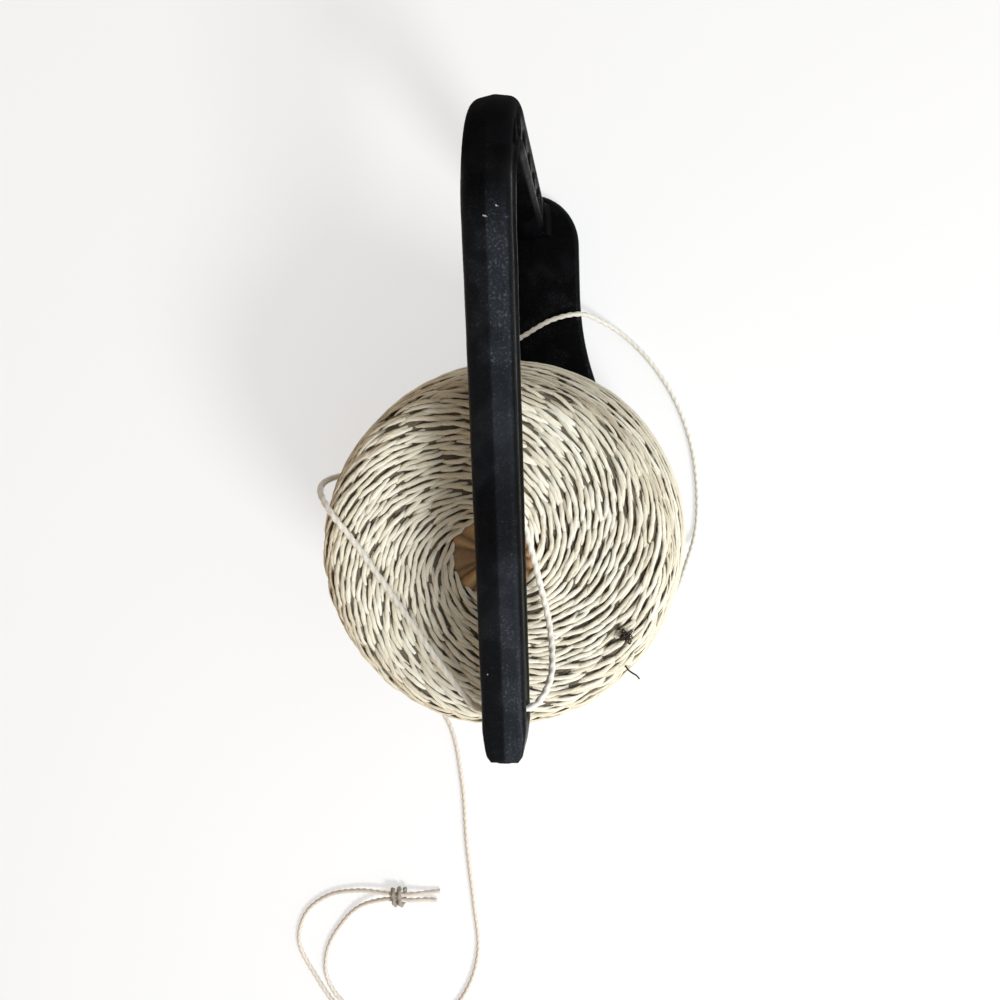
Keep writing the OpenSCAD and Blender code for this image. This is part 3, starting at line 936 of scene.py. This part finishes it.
@dataclass
class LooseString:
    """The string that has run off the package, through the eye and round the stand, to a second string."""

    skin: PackageSkin = field(default_factory=PackageSkin)
    string_d: float = 2.0
    lie_gap: float = 0.08
    floor_gap: float = 0.04
    base_t: float = 6.0
    over_top: float = 0.6
    off_belly: float = 1.2
    eye: Point = (0.0, -38.0, 112.5)
    eye_in: float = 6.35
    knot: tuple[float, float] = (-64.0, -163.0)
    pair_y: float = 1.3
    knot_turns: int = 2
    knot_pitch: float = 2.6
    turn_points: int = 26
    run_step: float = 0.75
    knot_step: float = 0.4
    run_tint: float = 0.22
    spare_tint: float = 0.3
    knot_tint: float = 0.45
    sides: int = 12
    lobe: float = 0.16
    twist: float = 6.0

    @property
    def lie_z(self) -> float:
        """Height of the string's middle where it lies on the table."""
        return self.string_d / 2 + self.lie_gap

    @property
    def knot_r(self) -> float:
        """Radius of the knot's turns round each strand."""
        return self.string_d + self.lie_gap

    @property
    def knot_z(self) -> float:
        """Height of the two strands inside the knot."""
        return self.knot_r + self.lie_z

    def run_route(self) -> list[Point]:
        """The route from the package to the short end past the knot.

        Returns:
            Its points.
        """
        lie, plate = self.lie_z, self.base_t + self.lie_z
        top = self.skin.top_z + self.string_d / 2 + self.over_top
        back = self.skin.belly_r + self.string_d / 2 + self.off_belly
        rim_r, rim_z = self.skin.rim_r, self.skin.rim_z
        (_, eye_y, eye_z), eye_in = self.eye, self.eye_in
        (kx, ky), kz, pair = self.knot, self.knot_z, self.pair_y
        return [
            (39, -40, 30), (50, -31, 19), (57, -19, 7), (61, -8, lie), (62, 5, lie), (60, 25, lie),
            (54, 43, lie), (44, 59, lie), (34, 69, lie + 0.6), (26, 74, plate - 2), (19, 76.5, plate + 0.8),
            (8, 75, plate), (-2, 70, plate), (-8, 66, plate + 4), (-8, back + 2, 26), (-8, back + 0.6, 46),
            (-8, back - 1.5, 66), (-6, rim_r + 5, 86), (-5, rim_r + 2, rim_z + 5), (-4, 46.5, top + 0.5),
            (0, 30, top + 0.3), (4, 14, top + 0.6), (8, -3, top + 1), (11.5, -20, top + 3),
            (11.5, -31, eye_z - 4), (eye_in + 1, eye_y + 1.2, eye_z - 0.6), (0, eye_y, eye_z),
            (-eye_in - 1, eye_y + 0.2, eye_z - 0.5), (-16, eye_y + 8, eye_z - 4.6), (-31, -12, 101.2),
            (-44, 6, top + 0.3), (-50, 13.6, top - 0.2),
            (-54.2, 18.4, rim_z + 4.4), (-56.8, 20.6, 87), (-60, 21.5, 68), (-62.5, 20, 40), (-63, 14, 14),
            (-63.5, 5, lie + 0.6), (-63, -10, lie), (-60, -38, lie), (-52, -66, lie), (-39, -88, lie),
            (-35, -112, lie), (-34, -140, lie), (-32, -166, lie), (-31, -187, lie), (-36, -204, lie),
            (-48, -220, lie), (-65, -229, lie), (-82, -228, lie), (-94, -219, lie), (-104, -204, lie),
            (-111, -188, lie), (-107, -174, lie), (-96, -165, lie + 0.3), (-82, ky + 1.4, lie + 1.2),
            (kx - 5, ky + pair, kz), (kx + 5, ky + pair, kz), (kx + 12, ky + pair + 0.3, lie + 0.6),
            (kx + 17.5, ky + pair + 0.9, lie),
        ]

    def spare_route(self) -> list[Point]:
        """The second string's route, from its short end through the knot to its bare end.

        Returns:
            Its points.
        """
        (kx, ky), kz, lie, pair = self.knot, self.knot_z, self.lie_z, self.pair_y
        return [
            (kx + 16, ky - pair - 0.8, lie), (kx + 12, ky - pair - 0.3, lie + 0.6), (kx + 5, ky - pair, kz),
            (kx - 5, ky - pair, kz), (-82, -169, lie + 0.8), (-91, -178, lie), (-98, -190, lie),
            (-99.5, -202, lie), (-96, -211, lie), (-91, -217, lie),
        ]

    def knot_route(self) -> list[Point]:
        """Long oval turns round both strands, each with 13 points on either half circle.

        Returns:
            Its points.
        """
        (kx, ky), found = self.knot, []
        start = kx - self.knot_pitch * self.knot_turns / 2
        for i in range(self.knot_turns * self.turn_points + 1):
            j = i % self.turn_points
            side = 1.0 if j < 7 or j > 19 else -1.0
            a = math.radians(15 * (j - (j > 6) - (j > 19)))
            x = start + self.knot_pitch * i / self.turn_points
            y = ky + side * self.pair_y + self.knot_r * math.cos(a)
            found.append((x, y, self.knot_z + self.knot_r * math.sin(a)))
        return found

    def _piece(self, name: str, line: np.ndarray, tint: float, finish: Material, node: str) -> Object:
        """Sweep one string.

        Args:
            name: Name of the piece.
            line: Its middle line.
            tint: Its shade.
            finish: Its material.
            node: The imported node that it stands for.

        Returns:
            The piece, riding on the stand.
        """
        parts, out = MeshParts(), carried_sides(line)
        form = {"sides": self.sides, "lobe": self.lobe, "twist": self.twist}
        parts.strand(line, out, self.string_d / 2, tint, **form)
        return dress(parts.build(name), finish, Body.STAND, Slot.TWINE, node)

    def build(self, finish: Material, tie: Material) -> list[Object]:
        """Make both strings and their knot.

        Args:
            finish: The twine's material.
            tie: The knot's material.

        Returns:
            The pieces.
        """
        lines = {}
        for name, route in (("loose_string", self.run_route()), ("second_string", self.spare_route())):
            line = rounded_line(route, self.run_step)
            line[:, 2] = np.maximum(line[:, 2], self.string_d / 2 + self.floor_gap)
            lines[name] = line
        run = self._piece("loose_string", lines["loose_string"], self.run_tint, finish, "string_run")
        spare = self._piece("second_string", lines["second_string"], self.spare_tint, finish, "string_spare")
        turns = rounded_line(self.knot_route(), self.knot_step)
        knot = self._piece("string_tie", turns, self.knot_tint, tie, "string_knot")
        for piece, far_end, extra in ((run, "knot", [knot]), (spare, "bare", [])):
            line = lines[piece.name] * MM
        return [run, spare, knot]


@dataclass(frozen=True)
class TopArcs:
    """The arcs on top of the package: their rows, and how one differs from the next.

    Distances are walked along the skin's curve, and angles are degrees.
    """

    pitch: float = 1.36
    first_row: float = 1.2
    past_rim: float = 6.0
    fewest: int = 9
    shown: Span = (7.5, 11.0)
    tilt: Span = (16.0, 7.0)
    inside_top: float = 12.0
    outside_rim: float = 2.0
    overlap: float = 1.75
    long: Span = (0.85, 1.2)
    lean: float = 4.0
    stray_lean: float = 9.0
    stray_share: float = 0.04
    slide: float = 0.28
    bow: Span = (0.15, 0.5)
    bow_shift: float = 0.7
    aside: float = 0.1
    nearest: float = 0.15
    uneven: float = 0.12
    depth: float = 0.86
    deeper: float = 0.5
    end_sink: float = 1.9
    sink_power: float = 2.4
    nose_lift: float = 0.5
    nose_span: Span = (3.0, 0.5)
    tint: float = 0.2
    tint_spread: float = 0.15
    rim_tint: float = 0.5
    rim_start: float = 4.0
    size: Span = (0.74, 0.88)
    taper: float = 0.72
    taper_power: float = 1.9
    press: float = 0.86
    crest: float = 0.75
    lobe: float = 0.07
    points: int = 22
    sides: int = 12


@dataclass(frozen=True)
class UnderTurn:
    """The turn below the arcs, one long spiral from the nose over the rim."""

    depth: float = 2.3
    pitch: float = 0.97
    start: float = 3.4
    past_rim: float = 2.6
    wave: float = 0.2
    waves: float = 5.3
    # Painted shade: the dark tint and deep sink mark darken this turn where it lies under the arcs.
    tint: float = 0.6
    sink: float = 0.92
    lobe: float = 0.05
    turn_points: int = 90
    sides: int = 7


@dataclass(frozen=True)
class SideLayers:
    """The layers of strands that cross each other down the side, the outermost last."""

    layers: int = 6
    strands: int = 13
    step: float = 0.5
    tilt: float = 13.0
    tilt_spread: float = 0.5
    shift: float = 0.16
    above_rim: float = 2.0
    above_foot: float = 1.6
    wave: float = 0.12
    waves: int = 9
    wave_shift: float = 6.0
    depth: float = 1.1
    dive: float = 1.8
    dive_rim: float = 7.0
    dive_foot: float = 4.0
    # Painted shade: the sink marks darken the lower layers and the ends where the strands dive.
    layer_sink: float = 0.12
    dive_sink: float = 0.6
    tint: float = 0.42
    tint_spread: float = 0.13
    size: float = 0.94
    lobe: float = 0.07
    points: int = 150


@dataclass(frozen=True)
class OlderTurns:
    """The older turns below, as one rippled ring round the paper cone."""

    depth: float = 3.0
    start: float = 1.9
    ripple: float = 0.32
    ripple_turns: float = 3.0
    ripple_in: Span = (2.0, 5.0)
    ripple_out: float = 3.0
    foot_in: float = 2.0
    foot_lift: float = 0.15
    foot_radii: Span = (30.0, 20.6)
    bore_top: Span = (13.3, 91.5)
    lay_scale: float = 40.0
    # Painted shade: the bed's dark tint, low crown and deep sink mark darken it, for the shade under the
    # outer strands.
    mark: Point = (0.75, 0.42, 0.55)
    around: int = 240
    rings: int = 150


@dataclass
class TwinePackage:
    """The wound twine: short arcs over the top, crossing layers down the side, and a bed below, dark with
    painted shade.
    """

    skin: PackageSkin = field(default_factory=PackageSkin)
    arcs: TopArcs = TopArcs()
    under: UnderTurn = UnderTurn()
    side: SideLayers = SideLayers()
    older: OlderTurns = OlderTurns()
    string_r: float = 1.0
    darkest: float = 0.9
    seed: int = 11

    def _tint(self, rng: np.random.Generator, mean: float, spread: float) -> float:
        """Draw a strand's shade."""
        return float(np.clip(rng.normal(mean, spread), 0.0, self.darkest))

    def crown(self) -> MeshParts:
        """Arcs that run round the top and dive under their neighbours.

        Returns:
            The strands.
        """
        rng, parts, skin, arcs = np.random.default_rng(self.seed), MeshParts(), self.skin, self.arcs
        t, phase = arcs.first_row, 0.0
        while t < skin.rim_t + arcs.past_rim:
            r = float(skin.radius(t))
            outer = float(smooth(t, skin.top_t - arcs.inside_top, skin.rim_t + arcs.outside_rim))
            tilt = math.radians(arcs.tilt[0] + (arcs.tilt[1] - arcs.tilt[0]) * outer)
            shown = arcs.shown[0] + (arcs.shown[1] - arcs.shown[0]) * outer
            count = max(arcs.fewest, round(TURN * r * math.sin(tilt) / arcs.pitch))
            for j in range(count):
                self._arc(parts, rng, t, phase + TURN * j / count, shown, tilt)
            t += shown * math.sin(tilt)
            phase += shown * math.cos(tilt) / r
        self._under(parts)
        return parts

    def _under(self, parts: MeshParts) -> None:
        """Add the turn below the arcs.

        Args:
            parts: Where to add it.
        """
        skin, under = self.skin, self.under
        reach = skin.rim_t + under.past_rim
        turns = reach / (under.pitch * self.arcs.pitch)
        u = np.linspace(0.0, 1.0, round(turns * under.turn_points))
        angle = -TURN * turns * u
        at = under.start + u * reach + under.wave * np.sin(under.waves * angle)
        line, out = skin.lay(at, angle, np.full(len(u), under.depth))
        sink = np.full(len(u), under.sink)
        parts.strand(line, out, self.string_r, under.tint, sink, sides=under.sides, lobe=under.lobe)

    def _arc(
        self, parts: MeshParts, rng: np.random.Generator, t: float, mid: float, shown: float, tilt: float
    ) -> None:
        """Add one arc that comes up, runs inwards clockwise and dives.

        Args:
            parts: Where to add it.
            rng: The package's random numbers.
            t: Place of its middle along the skin's curve.
            mid: Angle of its middle.
            shown: Length that shows.
            tilt: How steeply it runs inwards.
        """
        skin, arcs = self.skin, self.arcs
        long = shown * arcs.overlap * rng.uniform(*arcs.long)
        lean = rng.normal(0.0, arcs.lean) + (arcs.stray_lean if rng.random() < arcs.stray_share else 0.0)
        lean = tilt + math.radians(lean)
        u = np.linspace(-0.5, 0.5, arcs.points)
        run = u * long + rng.uniform(-arcs.slide, arcs.slide) * shown
        bow = rng.uniform(*arcs.bow) * np.sin(TURN * u + rng.normal(0.0, arcs.bow_shift))
        at = np.maximum(t - run * math.sin(lean) - bow + rng.normal(0.0, arcs.aside), arcs.nearest)
        angle = mid - run * math.cos(lean) / skin.radius(at)
        ends = np.abs(2 * u + rng.uniform(-arcs.uneven, arcs.uneven))
        # The sink mark also paints shade on the arc's ends where they dive.
        sink = ends**arcs.sink_power
        depth = arcs.depth + rng.uniform(0.0, arcs.deeper) + arcs.end_sink * sink
        line, out = skin.lay(at, angle, depth - arcs.nose_lift * smooth(at, *arcs.nose_span))
        rim = float(smooth(t, skin.top_t - arcs.rim_start, skin.rim_t))
        tint = self._tint(rng, arcs.tint + arcs.rim_tint * rim, arcs.tint_spread)
        taper = 1.0 - arcs.taper * np.clip(ends, 0.0, 1.0) ** arcs.taper_power
        size = self.string_r * rng.uniform(*arcs.size) * taper
        form = {"sides": arcs.sides, "lobe": arcs.lobe, "press": arcs.press, "crest": arcs.crest}
        parts.strand(line, out, size, tint, np.clip(sink, 0.0, 1.0), **form)

    def flank(self) -> MeshParts:
        """Layers of strands that cross each other down the side.

        Returns:
            The strands.
        """
        rng, parts, skin, side = np.random.default_rng(self.seed + 1), MeshParts(), self.skin, self.side
        first, last = skin.rim_t - side.above_rim, skin.foot_t - side.above_foot
        t = np.linspace(first, last, side.points)
        dive = 1.0 - smooth(t, first, first + side.dive_rim) + smooth(t, last - side.dive_foot, last)
        for k in range(side.layers):
            hand = Hand.RIGHT if k % 2 else Hand.LEFT
            below = side.layers - 1 - k
            phase = rng.random()
            for j in range(side.strands):
                tilt = math.radians(side.tilt + rng.normal(0.0, side.tilt_spread))
                turn = np.cumsum(np.diff(t) / (skin.radius(t[1:]) * math.tan(tilt)))
                start = TURN * (j + phase + rng.uniform(-side.shift, side.shift)) / side.strands
                angle = start + hand.value * np.concatenate([[0.0], turn])
                wave = side.wave * np.sin(angle * side.waves + rng.uniform(0, side.wave_shift))
                depth = side.depth + below * side.step + wave + side.dive * dive
                line, out = skin.lay(t, angle, depth)
                sink = np.clip(side.layer_sink * below + side.dive_sink * dive, 0.0, 1.0)
                tint = self._tint(rng, side.tint, side.tint_spread)
                parts.strand(line, out, side.size * self.string_r, tint, sink, lobe=side.lobe)
        return parts

    def bed(self) -> MeshParts:
        """The older turns below, as one rippled ring round the paper cone.

        Returns:
            The ring.
        """
        skin, parts, older = self.skin, MeshParts(), self.older
        angle = np.linspace(0.0, TURN, older.around, endpoint=False)
        rings, heights = [], []
        for t in np.linspace(older.start, skin.foot_t, older.rings):
            ripple = older.ripple * np.sin(TURN * t / self.arcs.pitch + older.ripple_turns * angle)
            fade = 1.0 - smooth(t, skin.foot_t - older.ripple_out, skin.foot_t)
            depth = older.depth + ripple * float(smooth(t, *older.ripple_in) * fade)
            rings.append(skin.lay(np.full(older.around, t), angle, depth)[0])
            heights.append(t)
        foot = rings[-1][0][0] - skin.axis_x - older.foot_in
        for r in (foot, *older.foot_radii):
            rings.append(skin.ring(r, skin.foot_z + older.foot_lift, angle))
            heights.append(skin.foot_z + older.foot_lift)
        rings.append(skin.ring(*older.bore_top, angle))
        heights.append(older.bore_top[1])
        level = np.zeros(older.around)
        lays = [np.stack([angle * older.lay_scale, level + h, level], -1) for h in heights]
        mark = np.broadcast_to(np.array(older.mark), (len(rings), older.around, 3))
        parts.grid(np.array(rings)[:, ::-1], np.array(lays), mark, closed_rows=True)
        return parts

    def build(self, outer: Material, inner: Material) -> list[Object]:
        """Make the package's twine.

        Args:
            outer: Material of the strands that show.
            inner: Material of the bed.

        Returns:
            The pieces.
        """
        return [
            dress(parts.build(name), finish, Body.PACKAGE, slot, node)
            for name, parts, finish, slot, node in (
                ("package_crown", self.crown(), outer, Slot.TWINE, "string_winding"),
                ("package_flank", self.flank(), outer, Slot.TWINE, "string_winding"),
                ("package_bed", self.bed(), inner, Slot.INNER, "string_core"),
            )
        ]


@dataclass
class DarkFluff:
    """A tuft of dark fibres caught in the package, and one stray fibre near it."""

    tuft: Point = (31.4, -22.0, 97.3)
    spread: float = 2.6
    scatter: Point = (0.3, 0.24, 0.072)
    reach: Span = (0.22, 0.55)
    bow: Point = (0.35, 0.35, 0.21)
    droop: float = 0.5
    hairs: int = 30
    hair_r: float = 0.17
    hair_tint: float = 0.5
    hair_sides: int = 5
    stray: tuple[Point, ...] = (
        (31.6, -31.2, 94.4),
        (32.6, -32.2, 95.9),
        (33.7, -33.0, 96.0),
        (34.7, -33.8, 95.5),
        (35.5, -35.0, 94.7),
    )
    stray_r: float = 0.255
    stray_tint: float = 0.4
    stray_sides: int = 6
    step: float = 0.2
    seed: int = 3

    def build(self, finish: Material) -> Object:
        """Make the fibres.

        Args:
            finish: Their material.

        Returns:
            The piece.
        """
        rng, parts = np.random.default_rng(self.seed), MeshParts()
        for _ in range(self.hairs):
            mid = np.array(self.tuft) + rng.normal(0.0, self.scatter) * self.spread
            way = rng.uniform(0.0, TURN)
            half = rng.uniform(*self.reach) * self.spread * np.array([math.cos(way), math.sin(way), 0.0])
            bow = rng.normal(0.0, 1.0, 3) * np.array(self.bow)
            end = mid + half - np.array(UP) * self.droop
            line = rounded_line([tuple(mid - half), tuple(mid + bow), tuple(end)], self.step)
            parts.strand(
                line, carried_sides(line), self.hair_r, self.hair_tint, sides=self.hair_sides, lobe=0.0
            )
        line = rounded_line(list(self.stray), self.step)
        parts.strand(
            line, carried_sides(line), self.stray_r, self.stray_tint, sides=self.stray_sides, lobe=0.0
        )
        return dress(parts.build("dark_fluff"), finish, Body.PACKAGE, Slot.TWINE)


@dataclass
class PaperNose:
    """The paper cone inside the package, its end gathered and tucked in."""

    skin: PackageSkin = field(default_factory=PackageSkin)
    foot_r: float = 20.0
    nose_z: float = 94.6
    hole_r: float = 3.0
    paper_t: float = 1.2
    folds: int = 15
    fold_heights: Span = (0.35, 1.0)
    fold_sharp: float = 0.8
    slow_wobble: float = 0.28
    quick_wobble: float = 0.2
    crease: float = 1.5
    crease_mid: float = 0.62
    crease_width: float = 3.4
    pull: float = 0.35
    crease_level: float = 0.9
    crease_shade: float = 0.1
    ridge_highlight: float = 0.95
    cone_light: float = 0.4
    gathered: Span = (9.0, 2.0)
    lay_scale: float = 12.0
    around: int = 204
    step: float = 0.8
    steps: tuple[int, int] = (2, 14)
    seed: int = 5

    def _profile(self) -> np.ndarray:
        """The section of the sheet, out over the nose and back inside.

        Returns:
            Radius and height along it.
        """
        r, z, t, hole = self.skin.nose_r, self.nose_z, self.paper_t, self.hole_r
        foot_r, foot_z = self.foot_r, self.skin.foot_z
        knots = [
            (foot_r - t, foot_z), (foot_r, foot_z), (r, z - 1.6), (r - 0.4, z - 0.5),
            (r - 2, z), (r - 4.5, z - 0.5), (hole + 1, z - 2), (hole, z - 3.2), (hole, z - 4.4),
            (hole + 1.6, z - 3.2), (r - 4.5, z - 1.9), (r - 2.2, z - 1.5), (r - t, z - 2.4),
        ]
        found = []
        for a, b in zip(knots, knots[1:] + knots[:1]):
            steps = round(math.dist(a, b) / self.step)
            found.append(np.linspace(a, b, int(np.clip(steps, *self.steps)), endpoint=False))
        return np.vstack(found)

    def _folds(self, angle: np.ndarray) -> np.ndarray:
        """Height of the gathered folds, uneven in width and height.

        Args:
            angle: Angles round the cone.

        Returns:
            One height for each angle, up to 1.
        """
        heights = np.random.default_rng(self.seed).uniform(*self.fold_heights, self.folds + 2)
        wobble = self.slow_wobble * np.sin(3 * angle + 1.0) + self.quick_wobble * np.sin(7 * angle)
        bent = angle * self.folds / TURN + wobble
        ridge = (1.0 - np.abs((bent % 1.0) - 0.5) * 2.0) ** self.fold_sharp
        return ridge * heights[np.floor(bent % self.folds).astype(int)]

    def build(self, finish: Material) -> Object:
        """Make the cone.

        Args:
            finish: The paper's material.

        Returns:
            The piece.
        """
        angle = np.linspace(0.0, TURN, self.around, endpoint=False)
        fold, level = self._folds(angle), np.zeros(self.around)
        rings, lays, marks = [], [], []
        for r, z in self._profile():
            near = float(smooth(z, *(self.nose_z - below for below in self.gathered)))
            inner = float(np.exp(-(((r - self.crease_mid * self.skin.nose_r) / self.crease_width) ** 2)))
            rise = near * inner * self.crease * (fold - self.crease_level)
            pulled = r + near * (1.0 - inner) * self.pull * (fold - 1.0)
            rings.append(self.skin.ring(pulled, z + rise, angle))
            lays.append(np.stack([angle * self.lay_scale, level + r, level + z], -1))
            # Painted light for the paper: dark in the creases of the gathered folds, light on their ridges,
            # and a mid tone down the cone.
            light = self.crease_shade + self.ridge_highlight * fold * near + self.cone_light * (1 - near)
            marks.append(np.stack([level, light, level], -1))
        parts = MeshParts()
        rings, lays, marks = (np.array(found)[:, ::-1] for found in (rings, lays, marks))
        parts.grid(rings, lays, marks, closed_rows=True)
        return dress(parts.build("paper_nose"), finish, Body.PACKAGE, Slot.PAPER, "paper_cone")


@dataclass
class Casting:
    """One iron casting: the node's own form with softened edges and a sandy, slightly uneven skin."""

    node: str
    name: str
    voxel: float = 0.45
    ease_share: float = 0.5
    ease_passes: int = 2
    waviness: float = 0.07
    wave_mm: float = 9.0
    sand: float = 0.035
    sand_mm: float = 0.9
    least_sand: float = 0.3
    corner_passes: int = 0
    corner_share: float = 0.5
    corner_x: Span = (3.4, 4.8)
    corner_depth: float = 2.6
    corner_edge: float = 0.6
    corner_start: Span = (6.0, 14.0)
    arm_h: float = 120.0
    bend_y: float = 87.8
    bend_r: float = 39.5
    post_lean: float = 6.0
    arm_reach: float = 49.5

    def build(self, finish: Material) -> Object:
        """Make the casting.

        Args:
            finish: The iron's material.

        Returns:
            The piece.
        """
        blank = new_object(self.name + "_blank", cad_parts[self.node].data.copy())
        remesh = blank.modifiers.new("skin", "REMESH")
        remesh.mode, remesh.voxel_size, remesh.use_smooth_shade = "VOXEL", self.voxel * MM, True
        ease = blank.modifiers.new("ease", "SMOOTH")
        ease.factor, ease.iterations = self.ease_share, self.ease_passes
        graph = bpy.context.evaluated_depsgraph_get()
        mesh = bpy.data.meshes.new_from_object(blank.evaluated_get(graph))
        mesh.name = self.name
        bpy.data.objects.remove(blank)
        self._round_corners(mesh)
        self._roughen(mesh)
        mesh.materials.clear()
        return dress(new_object(self.name, mesh), finish, Body.STAND, Slot.IRON, self.node)

    def _round_corners(self, mesh: bpy.types.Mesh) -> None:
        """Ease the long outer corners of the arm, and leave its ridge and its rims' edges crisp.

        Args:
            mesh: The mesh to change.
        """
        count = len(mesh.vertices)
        co, ends = np.zeros(count * 3), np.zeros(len(mesh.edges) * 2, np.int64)
        mesh.vertices.foreach_get("co", co)
        mesh.edges.foreach_get("vertices", ends)
        co, (a, b) = co.reshape(-1, 3) / MM, ends.reshape(-1, 2).T
        y, z = co[:, 1] - self.bend_y, co[:, 2] - (self.arm_h - self.bend_r)
        lean = math.radians(self.post_lean)
        from_axis = np.where(y < 0.0, z, np.hypot(y, np.maximum(z, 0.0)))
        on_post = y * math.cos(lean) - z * math.sin(lean)
        out = np.where((z < 0.0) & (y > 0.0), on_post, from_axis)
        rim = self.bend_r - self.corner_depth
        share = smooth(np.abs(co[:, 0]), *self.corner_x) * smooth(out, rim - self.corner_edge, rim)
        share *= smooth(co[:, 1], *(start - self.arm_reach for start in self.corner_start))
        links = np.maximum(np.bincount(ends, minlength=count), 1)
        for _ in range(self.corner_passes):
            sums = [np.bincount(a, co[b, k], count) + np.bincount(b, co[a, k], count) for k in range(3)]
            co += self.corner_share * share[:, None] * (np.stack(sums, 1) / links[:, None] - co)
        mesh.vertices.foreach_set("co", (co * MM).ravel())
        mesh.update()

    def _roughen(self, mesh: bpy.types.Mesh) -> None:
        """Move the skin in and out by a sandy noise.

        Args:
            mesh: The mesh to change.
        """
        count = len(mesh.vertices)
        co, normal = np.zeros(count * 3), np.zeros(count * 3)
        mesh.vertices.foreach_get("co", co)
        mesh.vertices.foreach_get("normal", normal)
        co, normal = co.reshape(-1, 3), normal.reshape(-1, 3)
        wave, sand = 1.0 / (self.wave_mm * MM), 1.0 / (self.sand_mm * MM)
        move = np.empty(count)
        for i, p in enumerate(co):
            v = Vector(p)
            sandy = self.sand * (self.least_sand + 0.5 + 0.5 * noise.noise(v * wave * 0.5))
            move[i] = self.waviness * noise.noise(v * wave) + sandy * noise.noise(v * sand)
        co += normal * (move * MM)[:, None]
        co[:, 2] = np.maximum(co[:, 2], 0.0)
        mesh.vertices.foreach_set("co", co.ravel())
        mesh.polygons.foreach_set("use_smooth", np.ones(len(mesh.polygons), bool))
        mesh.update()


def dress_node(node: str, finish: Material) -> Object:
    """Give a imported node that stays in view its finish.

    Args:
        node: The node's name.
        finish: Its material.

    Returns:
        The node's object.
    """
    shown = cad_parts[node]
    shown.data.materials.clear()
    shown.data.materials.append(finish)
    return shown


TWINE = TwineFinish("pale_twine")
LOOSE_TWINE = TwineFinish(
    "loose_twine",
    pale=(0.84, 0.82, 0.75),
    mid=(0.74, 0.7, 0.61),
    dull=(0.62, 0.54, 0.46),
    stain=0.15,
    table_tone=0.75,
)
TIED_TWINE = TwineFinish(
    "tied_twine", pale=(0.4, 0.34, 0.29), mid=(0.31, 0.265, 0.22), dull=(0.2, 0.165, 0.13)
)
# Painted shade: the bed's twine is darker than the outer strands, standing for the shade in the gaps between
# them.
SHADED_INNER_TWINE = TwineFinish("shaded_inner_twine", pale=(0.45, 0.38, 0.26), mid=(0.35, 0.28, 0.18), stain=0.5)
DARK_FIBRE = TwineFinish(
    "dark_fibre", pale=(0.03, 0.02, 0.015), mid=(0.02, 0.014, 0.01), dull=(0.08, 0.05, 0.03), stain=0.2
)
BLACK_CASTING = IronFinish(
    "black_casting",
    chips=(((-0.2, 87.3, 120.0), 0.4), ((2.8, 89.7, 119.9), 0.3), ((-4.0, -26.0, 119.7), 0.42)),
)
TURNED_IRON = IronFinish("turned_iron", black=(0.03, 0.03, 0.033), grain=2.0, roughness=(0.35, 0.5))
KRAFT_PAPER = PaperFinish("kraft_paper")
SCREW_STEEL = SteelFinish("screw_steel")


def main() -> None:
    """Build the scene piece by piece."""
    logging.basicConfig(level=logging.INFO, format="%(name)s: %(message)s")
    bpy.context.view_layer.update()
    StudioCamera().build()
    effects = SharedEffects()
    made = LooseString().build(LOOSE_TWINE.material(effects), TIED_TWINE.material(effects))
    made += TwinePackage().build(TWINE.material(effects), SHADED_INNER_TWINE.material(effects))
    made.append(DarkFluff().build(DARK_FIBRE.material(effects)))
    made.append(PaperNose().build(KRAFT_PAPER.material(effects)))
    iron = BLACK_CASTING.material(effects)
    made.append(Casting("arm", "cast_arm", corner_passes=16).build(iron))
    made.append(Casting("base_plate", "cast_foot", voxel=0.6).build(iron))
    made.append(dress_node("centre_peg", TURNED_IRON.material(effects)))
    made.append(dress_node("arm_screws", SCREW_STEEL.material(effects)))
    for piece in made:
        LOG.info("%s: %d faces", piece.name, len(piece.data.polygons))
    Studio().build()


if __name__ == "__main__":
    main()
